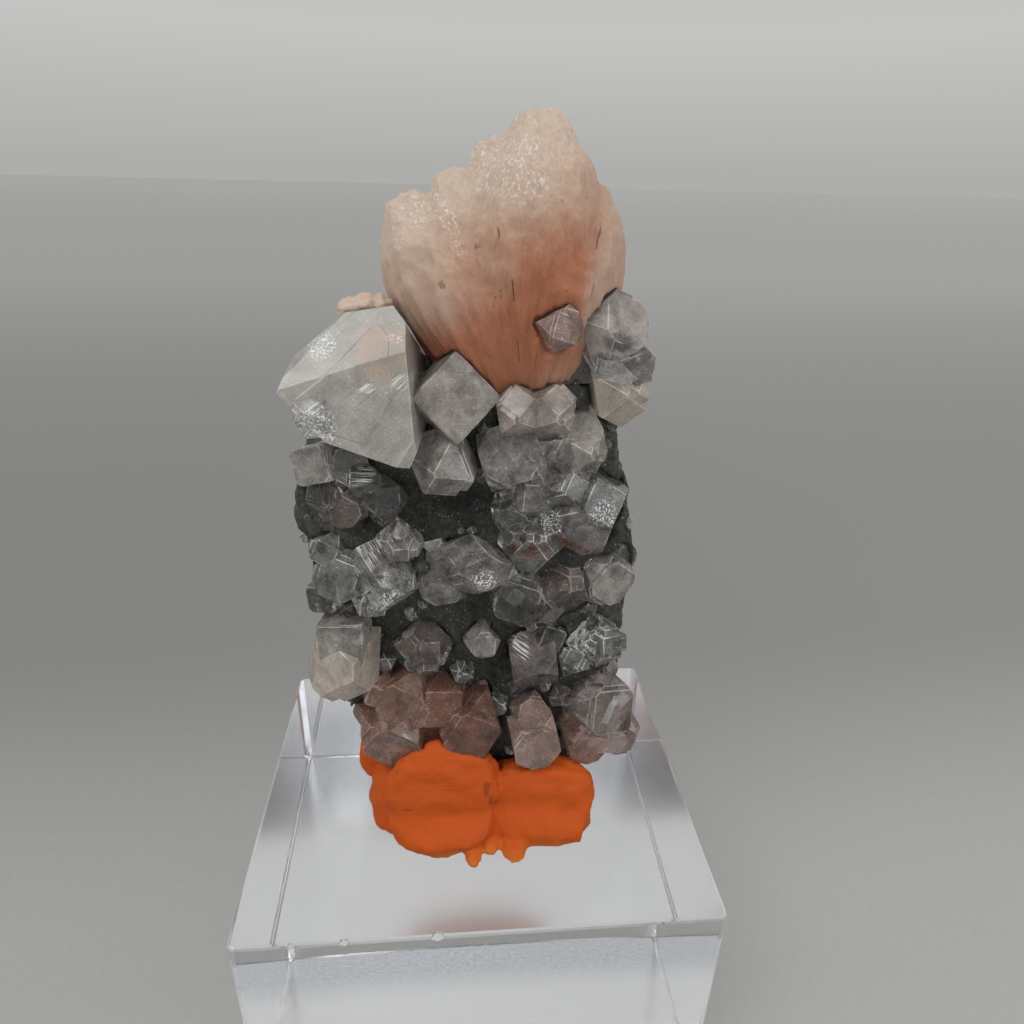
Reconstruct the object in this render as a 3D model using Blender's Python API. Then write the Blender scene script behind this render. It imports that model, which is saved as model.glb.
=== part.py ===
"""Apophyllite and stilbite on basalt, set in orange putty on a clear acrylic block.

Lengths are written in millimetres and turned into metres by MM.
X runs to the right, Y away from the front, Z up, and the origin is the middle of the block's base.
"""

import math

import bmesh
import bpy
from mathutils import Matrix, Vector, noise

MM = 0.001
GAP = 0.3

# Clear block
BLOCK_WIDTH = 60.0
BLOCK_DEPTH = 50.0
BLOCK_HEIGHT = 35.0
BLOCK_EDGE = 0.4
BLOCK_CORNER = 1.0
CHIP_PLACES = (-22.5, -16.4, -5.5)
CHIP_SIZE = 0.9

# Basalt
ROCK_BOTTOM = 38.5
ROCK_TOP = 98.0
ROCK_FRONT = -4.2
ROCK_BACK = 9.5
ROCK_CUTS = 9
ROCK_ROUGH = 1.1
ROCK_SEED = Vector((3.1, 7.7, 1.9))

# Left and right edge of the rock and its back, at heights going up
ROCK_PROFILE = (
    # height, left, right, back
    (38.0, -10.0, 10.5, 5.0),
    (44.0, -13.0, 14.5, 8.0),
    (52.0, -16.0, 19.0, 9.5),
    (60.0, -19.5, 19.4, 9.0),
    (70.0, -20.3, 20.2, 9.5),
    (78.0, -20.8, 19.4, 10.0),
    (86.0, -20.8, 17.0, 9.0),
    (92.0, -17.0, 15.8, 7.5),
    (96.0, -12.0, 14.0, 6.0),
    (99.0, -8.0, 12.0, 5.0),
)

# Hollows and ledges of the front: middle x, middle z, half width, half height, depth (a ledge is negative)
ROCK_RELIEF = (
    (-3.5, 81.8, 8.5, 3.2, 4.2),
    (-12.0, 65.5, 3.2, 4.0, 3.0),
    (0.0, 66.0, 8.0, 2.6, 3.4),
    (17.5, 65.5, 4.0, 3.2, 2.6),
    (3.0, 58.0, 2.6, 4.0, 3.8),
    (9.5, 54.0, 3.0, 2.0, 2.6),
    (-12.0, 79.5, 4.0, 1.8, 2.0),
    (-6.0, 75.0, 7.0, 2.4, -1.8),
    (10.0, 77.0, 8.0, 3.0, -1.6),
    (-6.0, 59.5, 9.0, 2.2, -1.4),
    (12.0, 60.0, 7.0, 2.4, -1.2),
)

# Stilbite
LOBE_SIDES = 12
LOBE_RINGS = 6


def lerp_profile(height):
    """Left edge, right edge and back of the rock at this height."""
    rows = ROCK_PROFILE
    if height <= rows[0][0]:
        return rows[0][1:]
    for low, high in zip(rows, rows[1:]):
        if height <= high[0]:
            share = (height - low[0]) / (high[0] - low[0])
            share = share * share * (3.0 - 2.0 * share)
            return tuple(a + (b - a) * share for a, b in zip(low[1:], high[1:]))
    return rows[-1][1:]


def wobble(place):
    """A smooth wandering vector that depends only on the place."""
    shifts = (Vector((13.7, 5.1, 2.3)), Vector((4.9, 17.3, 8.1)), Vector((9.2, 1.4, 21.6)))
    return Vector([noise.noise(place + shift) for shift in shifts])


def clear_scene():
    for obj in list(bpy.data.objects):
        bpy.data.objects.remove(obj, do_unlink=True)
    for group in list(bpy.data.collections):
        bpy.data.collections.remove(group)


def new_collection(name, helper=False):
    group = bpy.data.collections.new(name)
    bpy.context.scene.collection.children.link(group)
    group.hide_render = helper
    return group


def new_material(name, colour, roughness, metallic=0.0):
    made = bpy.data.materials.new(name)
    made.use_nodes = True
    shader = made.node_tree.nodes["Principled BSDF"]
    shader.inputs["Base Color"].default_value = (*colour, 1.0)
    shader.inputs["Roughness"].default_value = roughness
    shader.inputs["Metallic"].default_value = metallic
    made.diffuse_color = (*colour, 1.0)
    return made


def object_from(bm, name, group):
    """An object in metres from a bmesh drawn in millimetres, with its faces turned outward."""
    bmesh.ops.recalc_face_normals(bm, faces=bm.faces)
    bmesh.ops.scale(bm, vec=(MM, MM, MM), verts=bm.verts)
    mesh = bpy.data.meshes.new(name)
    bm.to_mesh(mesh)
    bm.free()
    obj = bpy.data.objects.new(name, mesh)
    group.objects.link(obj)
    if group.hide_render:
        obj.hide_render = True
        obj.display_type = "WIRE"
    return obj


def slice_off(bm, normal, distance):
    """Removes what lies beyond the plane at this distance from the origin and closes the cut."""
    normal = Vector(normal).normalized()
    geometry = bm.verts[:] + bm.edges[:] + bm.faces[:]
    bmesh.ops.bisect_plane(bm, geom=geometry, plane_co=normal * distance, plane_no=normal, clear_outer=True)
    rim = [edge for edge in bm.edges if edge.is_boundary]
    if rim:
        bmesh.ops.holes_fill(bm, edges=rim)


# A crystal is a square prism closed by a base face, with four steep pyramid faces over its corners.
# The pyramid faces lean sixty degrees from the base, as they do on apophyllite.
PYRAMID_SIDE = 0.615
PYRAMID_RISE = 0.494
# A crystal longer than this stands free at both ends, and a shorter one is rooted at its back end.
FREE_LENGTH = 9.9
ROOT_SHARE = 0.55


def outlook(yaw, rise):
    """The direction at this yaw and rise. yaw 0 looks at the viewer and 90 to the right, and rise lifts it."""
    yaw = math.radians(yaw)
    rise = math.radians(rise)
    return Vector((math.sin(yaw) * math.cos(rise), -math.cos(yaw) * math.cos(rise), math.sin(rise)))


class Crystal:
    """One crystal: middle (x, y, z), width across the prism, length, direction and how far it is pointed.

    yaw and rise say where the long axis points, and spin turns the crystal about it.
    point 0 leaves the corners whole and 1 brings the pyramid faces together in a point.
    """

    def __init__(self, at, width, length, yaw, rise, spin, point, slim=1.0):
        self.at = Vector(at)
        self.width = width
        self.length = length
        self.yaw = yaw
        self.rise = rise
        self.spin = spin
        self.point = point
        self.slim = slim

    def turn(self):
        axis = outlook(self.yaw, self.rise)
        side = Vector((0.0, 0.0, 1.0)).cross(axis).normalized()
        up = axis.cross(side)
        frame = Matrix((side, up, axis)).transposed().to_4x4()
        return frame @ Matrix.Rotation(math.radians(self.spin), 4, "Z")

    def solid(self, grow=0.0):
        """The crystal as a bmesh in millimetres, every face moved out by grow."""
        half = self.width / 2.0
        thin = half * self.slim
        reach = self.length / 2.0
        corner = PYRAMID_SIDE * (half + thin) * (1.0 - self.point)
        distance = PYRAMID_RISE * reach + corner + grow
        bm = bmesh.new()
        bmesh.ops.create_cube(bm, size=2.0)
        bmesh.ops.scale(bm, vec=(half + grow, thin + grow, reach + grow), verts=bm.verts)
        if self.length <= FREE_LENGTH:
            root = [vert for vert in bm.verts if vert.co.z < 0.0]
            bmesh.ops.translate(bm, vec=(0.0, 0.0, reach * (1.0 - ROOT_SHARE)), verts=root)
        ends = (-1.0, 1.0) if self.length > FREE_LENGTH else (1.0,)
        for across in (-1.0, 1.0):
            for along in (-1.0, 1.0):
                for end in ends:
                    normal = (across * PYRAMID_SIDE, along * PYRAMID_SIDE, end * PYRAMID_RISE)
                    slice_off(bm, normal, distance)
        bmesh.ops.transform(bm, matrix=Matrix.Translation(self.at) @ self.turn(), verts=bm.verts)
        return bm


class UnevenCrystal:
    """One crystal whose faces grew unevenly: its middle, and each face as yaw, rise and distance from it."""

    def __init__(self, at, faces):
        self.at = Vector(at)
        self.faces = faces

    def solid(self, grow=0.0):
        """The crystal as a bmesh in millimetres, every face moved out by grow."""
        bm = bmesh.new()
        bmesh.ops.create_cube(bm, size=40.0)
        for yaw, rise, distance in self.faces:
            slice_off(bm, outlook(yaw, rise), distance + grow)
        bmesh.ops.translate(bm, vec=self.at, verts=bm.verts)
        return bm


MILKY_FACES = (
    # yaw, rise, distance: the two broad front faces, then the sides clockwise from the top, and the back
    (-12, 40, 5.6),
    (-2, 14, 5.2),
    (-163, 67, 7.6),
    (101, 32, 8.5),
    (83, 6, 6.8),
    (28, -6, 9.0),
    (85, -24, 8.6),
    (-91, -71, 4.4),
    (-102, -45, 3.6),
    (-99, 17, 6.4),
    (-118, 43, 5.9),
    (-56, 51, 6.7),
    (175, -25, 6.4),
)

CLUSTERS = {
    "apophyllite_milky": (
        UnevenCrystal((-13.4, -4.0, 95.2), MILKY_FACES),
        Crystal((-3.3, -3.0, 94.1), 7.0, 8.0, 14, 14, 42, 0.05),
        Crystal((-4.2, -4.8, 87.6), 5.8, 7.6, 8, -38, 30, 0.55),
        Crystal((-16.9, -8.4, 93.5), 3.3, 4.8, -30, 60, 20, 0.50),
    ),
    "apophyllite_left_cubes": (
        Crystal((-17.9, -5.2, 87.3), 4.0, 4.4, -14, 10, 14, 0.15),
        Crystal((-15.4, -3.2, 86.5), 4.2, 4.8, 30, 12, 8, 0.25),
        Crystal((-13.4, -4.0, 84.5), 3.6, 4.4, 16, 30, 35, 0.40),
        Crystal((-17.2, -4.2, 83.2), 3.8, 4.4, -20, 24, 40, 0.45),
        Crystal((-15.4, -3.4, 81.9), 4.4, 5.2, -6, -8, 10, 0.35),
        Crystal((-10.9, -4.0, 82.3), 4.2, 5.4, 14, 22, 42, 0.55),
    ),
    "apophyllite_striated": (
        Crystal((-17.6, -2.6, 75.4), 3.8, 5.4, -12, 8, 20, 0.50),
        Crystal((-12.0, -4.8, 73.8), 5.2, 9.6, 46, -42, 4, 0.35),
        Crystal((-16.0, -3.4, 71.8), 5.6, 6.4, -16, 20, 30, 0.40),
        Crystal((-18.6, -2.2, 68.8), 3.4, 4.6, -20, 4, 8, 0.15),
        Crystal((-13.0, -4.0, 69.8), 4.2, 5.2, 6, -22, 38, 0.50),
        Crystal((-9.4, -4.6, 76.8), 4.2, 5.2, 8, -8, 45, 0.70),
    ),
    "apophyllite_lying": (
        Crystal((-1.3, -5.8, 74.5), 5.6, 10.2, 72, -2, 32, 0.80),
        Crystal((-4.4, -3.8, 71.4), 4.8, 5.8, -10, 10, 14, 0.35),
    ),
    "apophyllite_right": (
        Crystal((4.6, -4.2, 92.4), 4.6, 7.6, -12, 40, 12, 0.60),
        Crystal((7.7, -4.2, 92.4), 4.6, 7.6, 14, 42, -12, 0.60),
        Crystal((11.2, -3.4, 89.6), 4.8, 8.0, 28, -44, 20, 0.60),
        Crystal((4.0, -3.0, 87.2), 6.8, 7.6, -10, 22, 20, 0.30),
        Crystal((9.0, -3.0, 86.0), 7.6, 8.4, 20, 10, 12, 0.45),
        Crystal((6.3, -4.4, 83.2), 4.8, 6.4, 4, 8, 40, 0.55),
        Crystal((4.4, -3.8, 80.8), 4.0, 5.6, -14, -14, 24, 0.40),
        Crystal((12.2, -3.2, 80.9), 12.0, 11.6, 22, 24, 8, 0.75),
        Crystal((6.2, -4.8, 76.8), 6.2, 7.6, -8, 34, 44, 0.90),
    ),
    "apophyllite_middle_right": (
        Crystal((16.0, -2.6, 70.8), 6.0, 5.6, 18, 0, 6, 0.40),
        Crystal((17.4, -1.2, 73.0), 3.6, 5.0, 30, 10, 20, 0.40),
        Crystal((11.2, -3.8, 70.2), 6.2, 6.8, 14, 30, 44, 0.80),
        Crystal((5.2, -4.0, 68.8), 6.2, 6.6, -10, 12, 30, 0.45),
        Crystal((8.4, -3.2, 67.6), 4.0, 5.0, 10, -10, 12, 0.40),
    ),
    "apophyllite_upper_right": (
        Crystal((14.0, -2.6, 101.4), 6.4, 6.8, 34, 28, 22, 0.40),
        Crystal((15.8, -2.2, 97.8), 6.2, 8.0, 72, -6, 30, 0.70),
        Crystal((15.6, -2.2, 94.6), 5.8, 6.8, 14, -34, 10, 0.55),
        Crystal((10.6, -0.6, 97.6), 4.8, 5.0, 0, 10, 6, 0.20),
    ),
    "apophyllite_on_fan": (
        Crystal((8.3, -6.6, 102.4), 3.6, 4.6, 10, 12, 28, 0.50),
    ),
    "apophyllite_left_lower": (
        Crystal((-16.5, -3.4, 63.3), 5.6, 6.8, -8, 6, 4, 0.10),
        Crystal((-16.9, -4.0, 59.8), 8.0, 9.0, 10, -26, -12, 0.66),
    ),
    "apophyllite_lower_clear": (
        Crystal((-6.6, -5.0, 62.4), 5.6, 7.2, 10, 20, 40, 0.70),
    ),
    "apophyllite_small_bright": (
        Crystal((0.5, -4.6, 62.7), 3.4, 4.8, 6, 12, 40, 0.45),
    ),
    "apophyllite_brown_prism": (
        Crystal((9.0, -3.4, 62.6), 4.0, 5.0, 10, 14, 20, 0.50),
        Crystal((7.2, -4.0, 58.8), 5.8, 8.4, -8, 50, 12, 0.30),
    ),
    "apophyllite_right_lower": (
        Crystal((15.4, -5.0, 62.2), 5.2, 7.2, 22, 20, 40, 0.65),
        Crystal((12.4, -4.8, 59.2), 3.4, 6.0, -8, 40, 20, 0.60),
    ),
    "apophyllite_bottom_left": (
        Crystal((-9.2, -4.6, 54.4), 6.6, 8.2, -12, 12, 24, 0.45),
        Crystal((-10.6, -5.4, 50.2), 7.4, 8.4, -8, -10, 10, 0.40),
        Crystal((-13.9, -3.0, 51.0), 3.4, 4.6, -50, 0, 20, 0.40),
        Crystal((-5.0, -5.0, 53.6), 6.4, 7.4, 8, 20, 38, 0.50),
        Crystal((-1.2, -5.4, 51.0), 7.4, 9.2, 4, 4, 16, 0.45),
    ),
    "apophyllite_bottom_cube": (
        Crystal((7.3, -7.6, 49.1), 5.9, 5.8, 4, 6, 10, 0.32),
        Crystal((6.9, -5.0, 51.4), 4.2, 4.4, 10, 22, 28, 0.35),
    ),
    "apophyllite_bottom_right": (
        Crystal((16.2, -4.0, 51.8), 7.4, 9.0, 20, 16, 34, 0.45),
        Crystal((18.6, -3.4, 46.6), 6.0, 8.0, 60, -10, 30, 0.70),
        Crystal((14.4, -4.6, 47.0), 5.4, 7.0, 10, -8, 14, 0.35),
    ),
}


def volume_of(mesh):
    bm = bmesh.new()
    bm.from_mesh(mesh)
    volume = bm.calc_volume(signed=True)
    bm.free()
    return volume


def baked_step(target, helper, operation, solver):
    step = target.modifiers.new("step", "BOOLEAN")
    step.operation = operation
    step.solver = solver
    step.object = helper
    graph = bpy.context.evaluated_depsgraph_get()
    baked = bpy.data.meshes.new_from_object(target.evaluated_get(graph))
    target.modifiers.clear()
    return baked


def fuse(target, helpers, operation="UNION"):
    """Joins the helpers to the target, or cuts them from it, one after the other, as a plain mesh."""
    for helper in helpers:
        before = volume_of(target.data)
        other = volume_of(helper.data)
        least = max(before, other) if operation == "UNION" else before - other
        most = before + other if operation == "UNION" else before
        slack = 1e-4 * before
        exact = baked_step(target, helper, operation, "EXACT")
        manifold = baked_step(target, helper, operation, "MANIFOLD")
        sound = least - slack <= volume_of(manifold) <= most + slack
        agree = abs(volume_of(exact) - volume_of(manifold)) < 1e-3 * before
        baked, spare = (manifold, exact) if sound and not agree else (exact, manifold)
        old = target.data
        target.data = baked
        bpy.data.meshes.remove(old)
        bpy.data.meshes.remove(spare)
        tidy_mesh(target, operation == "DIFFERENCE")


def bodies_of(bm):
    """The separate bodies of a mesh as sets of vertices, smallest first."""
    left = set(bm.verts)
    bodies = []
    while left:
        stack = [left.pop()]
        body = set(stack)
        while stack:
            for edge in stack.pop().link_edges:
                for vert in edge.verts:
                    if vert in left:
                        left.discard(vert)
                        body.add(vert)
                        stack.append(vert)
        bodies.append(body)
    bodies.sort(key=len)
    return bodies


def tidy_mesh(obj, drop_crumbs):
    """Welds points that fell together and, after a cut, drops the crumbs it has left loose."""
    bm = bmesh.new()
    bm.from_mesh(obj.data)
    bmesh.ops.remove_doubles(bm, verts=bm.verts, dist=0.002 * MM)
    bmesh.ops.dissolve_degenerate(bm, dist=0.002 * MM, edges=bm.edges)
    if drop_crumbs:
        crumbs = [vert for body in bodies_of(bm)[:-1] for vert in body]
        bmesh.ops.delete(bm, geom=crumbs, context="VERTS")
    bmesh.ops.triangulate(bm, faces=[face for face in bm.faces if len(face.verts) > 4])
    bm.to_mesh(obj.data)
    bm.free()


def fused_group(solids, name, group):
    """One object from several overlapping solids."""
    first, *others = [object_from(bm, f"{name}_{index}", group) for index, bm in enumerate(solids)]
    fuse(first, others)
    for other in others:
        bpy.data.objects.remove(other, do_unlink=True)
    bm = bmesh.new()
    bm.from_mesh(first.data)
    apart = len(bodies_of(bm)) - 1
    bm.free()
    if apart:
        raise RuntimeError(f"{name}: {apart} of its shapes stand apart from the rest")
    return first


def build_clusters(parts, helpers, finish):
    """Every group of crystals fused in one solid, with a slightly larger copy as its socket."""
    sockets = []
    for name, crystals in CLUSTERS.items():
        cluster = fused_group([crystal.solid() for crystal in crystals], name, helpers)
        show_as_part(cluster, name, helpers, parts, finish[name])
        grown = [crystal.solid(GAP) for crystal in crystals]
        sockets.append(fused_group(grown, f"socket_{name}", helpers))
    return sockets


def rock_point(place, grow):
    """Moves a point of the unit box, with sides from -1 to 1, to the rock's surface."""
    height = ROCK_BOTTOM + (ROCK_TOP - ROCK_BOTTOM) * (place.z + 1.0) / 2.0
    left, right, back = lerp_profile(height)
    middle = (left + right) / 2.0
    half = (right - left) / 2.0
    x = middle + half * place.x
    share = (place.y + 1.0) / 2.0
    rounding = 1.0 - 0.35 * abs(place.x) ** 6
    front = ROCK_FRONT * rounding
    behind = back * (1.0 - 0.45 * abs(place.x) ** 3)
    y = front + (behind - front) * share
    if place.y < -0.99:
        for cx, cz, wide, high, depth in ROCK_RELIEF:
            swell = ((x - cx) / wide) ** 2 + ((height - cz) / high) ** 2
            y += depth * math.exp(-swell * swell)
    here = Vector((x, y, height))
    coarse = wobble(here * 0.16 + ROCK_SEED)
    fine = wobble(here * 0.42 + ROCK_SEED * 2.0)
    moved = here + coarse * ROCK_ROUGH * 1.7 + fine * ROCK_ROUGH
    outward = Vector((place.x, place.y, place.z)).normalized()
    return moved + outward * grow


def rock_solid(grow=0.0):
    bm = bmesh.new()
    bmesh.ops.create_cube(bm, size=2.0)
    bmesh.ops.subdivide_edges(bm, edges=bm.edges, cuts=ROCK_CUTS, use_grid_fill=True)
    for vert in bm.verts:
        vert.co = rock_point(vert.co.copy(), grow)
    return bm


class Lobe:
    """One sheaf of fibres, narrow at its root and swelling to a blunt crown."""

    def __init__(self, root, crown, root_radius, radius, swell, flat, flute):
        self.root = Vector(root)
        self.crown = Vector(crown)
        self.root_radius = root_radius
        self.radius = radius
        self.swell = swell
        self.flat = flat
        self.flute = flute

    def radius_at(self, share):
        """Radius at this share of the length, with its greatest value at swell."""
        if share < self.swell:
            rise = share / self.swell
            return self.root_radius + (self.radius - self.root_radius) * math.sin(rise * math.pi / 2.0)
        fall = (share - self.swell) / (1.0 - self.swell)
        return self.radius * math.cos(fall * math.pi / 2.0) ** 0.5

    def solid(self, grow=0.0):
        axis = self.crown - self.root
        length = axis.length
        bm = bmesh.new()
        lift = axis.normalized()
        bmesh.ops.create_cone(
            bm,
            cap_ends=True,
            cap_tris=True,
            segments=LOBE_SIDES,
            radius1=1.0,
            radius2=1.0,
            depth=1.0,
            matrix=Matrix.Translation((0.0, 0.0, 0.5)),
        )
        sides = [edge for edge in bm.edges if abs(edge.verts[0].co.z - edge.verts[1].co.z) > 0.5]
        bmesh.ops.subdivide_edges(bm, edges=sides, cuts=LOBE_RINGS)
        for vert in bm.verts:
            share = vert.co.z
            spread = math.hypot(vert.co.x, vert.co.y)
            if spread < 0.5:
                vert.co = Vector((0.0, 0.0, -grow if share < 0.5 else length + grow))
                continue
            angle = math.atan2(vert.co.y, vert.co.x)
            turn = round(angle / (2.0 * math.pi) * LOBE_SIDES)
            groove = 1.0 - self.flute * (turn % 2)
            eased = 0.97 * share
            radius = self.radius_at(eased) * groove + grow
            crown_step = 0.5 * self.flute * length * (turn % 3 - 1) * share ** 6
            vert.co = Vector(
                (
                    radius * math.cos(angle),
                    radius * math.sin(angle) * self.flat,
                    eased * length + crown_step,
                )
            )
        lean = Vector((0.0, 0.0, 1.0)).rotation_difference(lift).to_matrix().to_4x4()
        bmesh.ops.transform(bm, matrix=Matrix.Translation(self.root) @ lean, verts=bm.verts)
        return bm


FAN_LOBES = (
    Lobe((6.0, 0.5, 91.0), (6.2, 0.5, 123.0), 2.6, 7.6, 0.60, 1.10, 0.04),
    Lobe((6.5, 0.5, 91.0), (11.8, 0.5, 116.6), 2.6, 6.4, 0.60, 1.10, 0.04),
    Lobe((5.5, 1.0, 91.0), (1.6, 1.0, 120.2), 2.6, 5.9, 0.62, 1.05, 0.05),
    Lobe((5.0, 0.5, 91.0), (-3.2, 0.5, 117.2), 2.6, 5.8, 0.62, 1.10, 0.05),
    Lobe((4.0, 0.8, 91.5), (-8.2, 0.8, 114.6), 2.4, 6.2, 0.64, 1.10, 0.05),
    Lobe((4.5, -0.5, 91.5), (-4.4, -3.6, 111.5), 2.4, 4.8, 0.62, 1.00, 0.07),
    Lobe((5.6, -0.5, 91.5), (2.8, -4.0, 116.0), 2.4, 5.0, 0.62, 1.00, 0.06),
    Lobe((6.0, -0.5, 91.5), (9.6, -3.4, 113.6), 2.4, 5.4, 0.62, 1.00, 0.05),
    Lobe((5.4, 1.5, 91.5), (2.0, 6.6, 115.0), 2.6, 6.2, 0.62, 1.10, 0.06),
    Lobe((5.6, 1.5, 91.5), (9.0, 5.6, 113.0), 2.6, 6.2, 0.62, 1.10, 0.06),
)

KNOB_LUMPS = (
    # x, y, z, radius
    (-13.6, -1.6, 103.2, 1.7),
    (-12.0, -1.9, 103.6, 1.8),
    (-10.5, -1.5, 103.5, 1.7),
    (-12.0, -1.0, 102.0, 2.3),
)


def build_fan(name, lobes, group, grow=0.0):
    return fused_group([lobe.solid(grow) for lobe in lobes], name, group)


def build_knob(name, group, grow=0.0):
    lumps = []
    for index, (x, y, z, radius) in enumerate(KNOB_LUMPS):
        bm = bmesh.new()
        bmesh.ops.create_icosphere(bm, subdivisions=1, radius=radius + grow)
        for vert in bm.verts:
            vert.co *= 1.0 + 0.12 * noise.noise(vert.co * 2.3 + Vector((x, y, z)))
        bmesh.ops.translate(bm, vec=(x, y, z), verts=bm.verts)
        lumps.append(bm)
    return fused_group(lumps, name, group)


def show_as_part(obj, name, helpers, parts, material):
    helpers.objects.unlink(obj)
    parts.objects.link(obj)
    obj.name = name
    obj.hide_render = False
    obj.display_type = "TEXTURED"
    obj.data.materials.clear()
    obj.data.materials.append(material)
    return obj


# Putty lumps: middle, full size, tip back, turn, roundness from 0 to 1
PUTTY_LUMPS = (
    ((0.4, -1.8, 37.2), (29.5, 21.0, 14.0), 0.0, 0.0, 0.80),
    ((-4.6, -10.8, 42.4), (16.0, 8.0, 16.6), -14.0, 8.0, 0.92),
    ((8.6, -9.3, 39.7), (14.6, 9.2, 12.4), -14.0, -8.0, 0.74),
    ((-10.4, -7.2, 39.4), (9.0, 8.0, 11.0), -10.0, 24.0, 0.90),
    ((-14.6, -1.4, 42.2), (4.0, 7.0, 7.0), 0.0, 0.0, 0.90),
)
PUTTY_FEET = (
    # x, y, width, reach
    (-0.9, -14.0, 2.8, 5.0),
    (4.6, -13.2, 4.8, 7.0),
    (1.4, -11.8, 4.0, 6.0),
)


def putty_lump(middle, size, tip, turn, roundness):
    bm = bmesh.new()
    bmesh.ops.create_cube(bm, size=1.0)
    bmesh.ops.subdivide_edges(bm, edges=bm.edges, cuts=3, use_grid_fill=True)
    for vert in bm.verts:
        place = vert.co * 2.0
        longest = max(abs(part) for part in place)
        ball = place.normalized() * longest
        vert.co = place.lerp(ball, roundness) * 0.5
    bmesh.ops.scale(bm, vec=size, verts=bm.verts)
    for vert in bm.verts:
        vert.co += wobble((vert.co + Vector(middle)) * 0.35) * 0.5
    place = Matrix.Translation(middle)
    place = place @ Matrix.Rotation(math.radians(turn), 4, "Z") @ Matrix.Rotation(math.radians(tip), 4, "X")
    bmesh.ops.transform(bm, matrix=place, verts=bm.verts)
    return bm


def putty_foot(x, y, width, reach):
    bm = bmesh.new()
    bmesh.ops.create_cone(bm, cap_ends=True, segments=9, radius1=1.0, radius2=0.55, depth=1.0)
    bmesh.ops.scale(bm, vec=(width / 2.0, reach / 2.0, 1.6), verts=bm.verts)
    bmesh.ops.translate(bm, vec=(x, y, BLOCK_HEIGHT + 0.6), verts=bm.verts)
    return bm


def build_putty(helpers, cutters):
    lumps = [putty_lump(*row) for row in PUTTY_LUMPS]
    lumps += [putty_foot(*row) for row in PUTTY_FEET]
    putty = fused_group(lumps, "putty_lump", helpers)
    floor = bmesh.new()
    bmesh.ops.create_cube(floor, size=80.0)
    bmesh.ops.translate(floor, vec=(0.0, 0.0, BLOCK_HEIGHT + GAP - 40.0), verts=floor.verts)
    floor = object_from(floor, "block_top", helpers)
    fuse(putty, [floor] + cutters, "DIFFERENCE")
    return putty


def build_block(parts, helpers):
    bm = bmesh.new()
    bmesh.ops.create_cube(bm, size=1.0)
    bmesh.ops.scale(bm, vec=(BLOCK_WIDTH, BLOCK_DEPTH, BLOCK_HEIGHT), verts=bm.verts)
    bmesh.ops.translate(bm, vec=(0.0, 0.0, BLOCK_HEIGHT / 2.0), verts=bm.verts)
    upright = [edge for edge in bm.edges if abs(edge.verts[0].co.z - edge.verts[1].co.z) > 1.0]
    bmesh.ops.bevel(
        bm, geom=upright, offset=BLOCK_CORNER, segments=3, profile=0.5, affect="EDGES", material=-1
    )
    level = [
        edge
        for edge in bm.edges
        if abs(edge.verts[0].co.z - edge.verts[1].co.z) < 0.01 and len(edge.link_faces) == 2
    ]
    bmesh.ops.bevel(bm, geom=level, offset=BLOCK_EDGE, segments=2, profile=0.5, affect="EDGES", material=-1)
    block = object_from(bm, "acrylic_block", parts)
    chips = []
    for index, x in enumerate(CHIP_PLACES):
        bm = bmesh.new()
        bmesh.ops.create_icosphere(bm, subdivisions=1, radius=CHIP_SIZE * (0.7 + 0.2 * (index % 3)))
        place = Vector((x, -BLOCK_DEPTH / 2.0 - 0.1, BLOCK_HEIGHT + 0.1))
        bmesh.ops.translate(bm, vec=place, verts=bm.verts)
        chips.append(object_from(bm, f"chip_{index}", helpers))
    fuse(block, chips, "DIFFERENCE")
    return block


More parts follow.
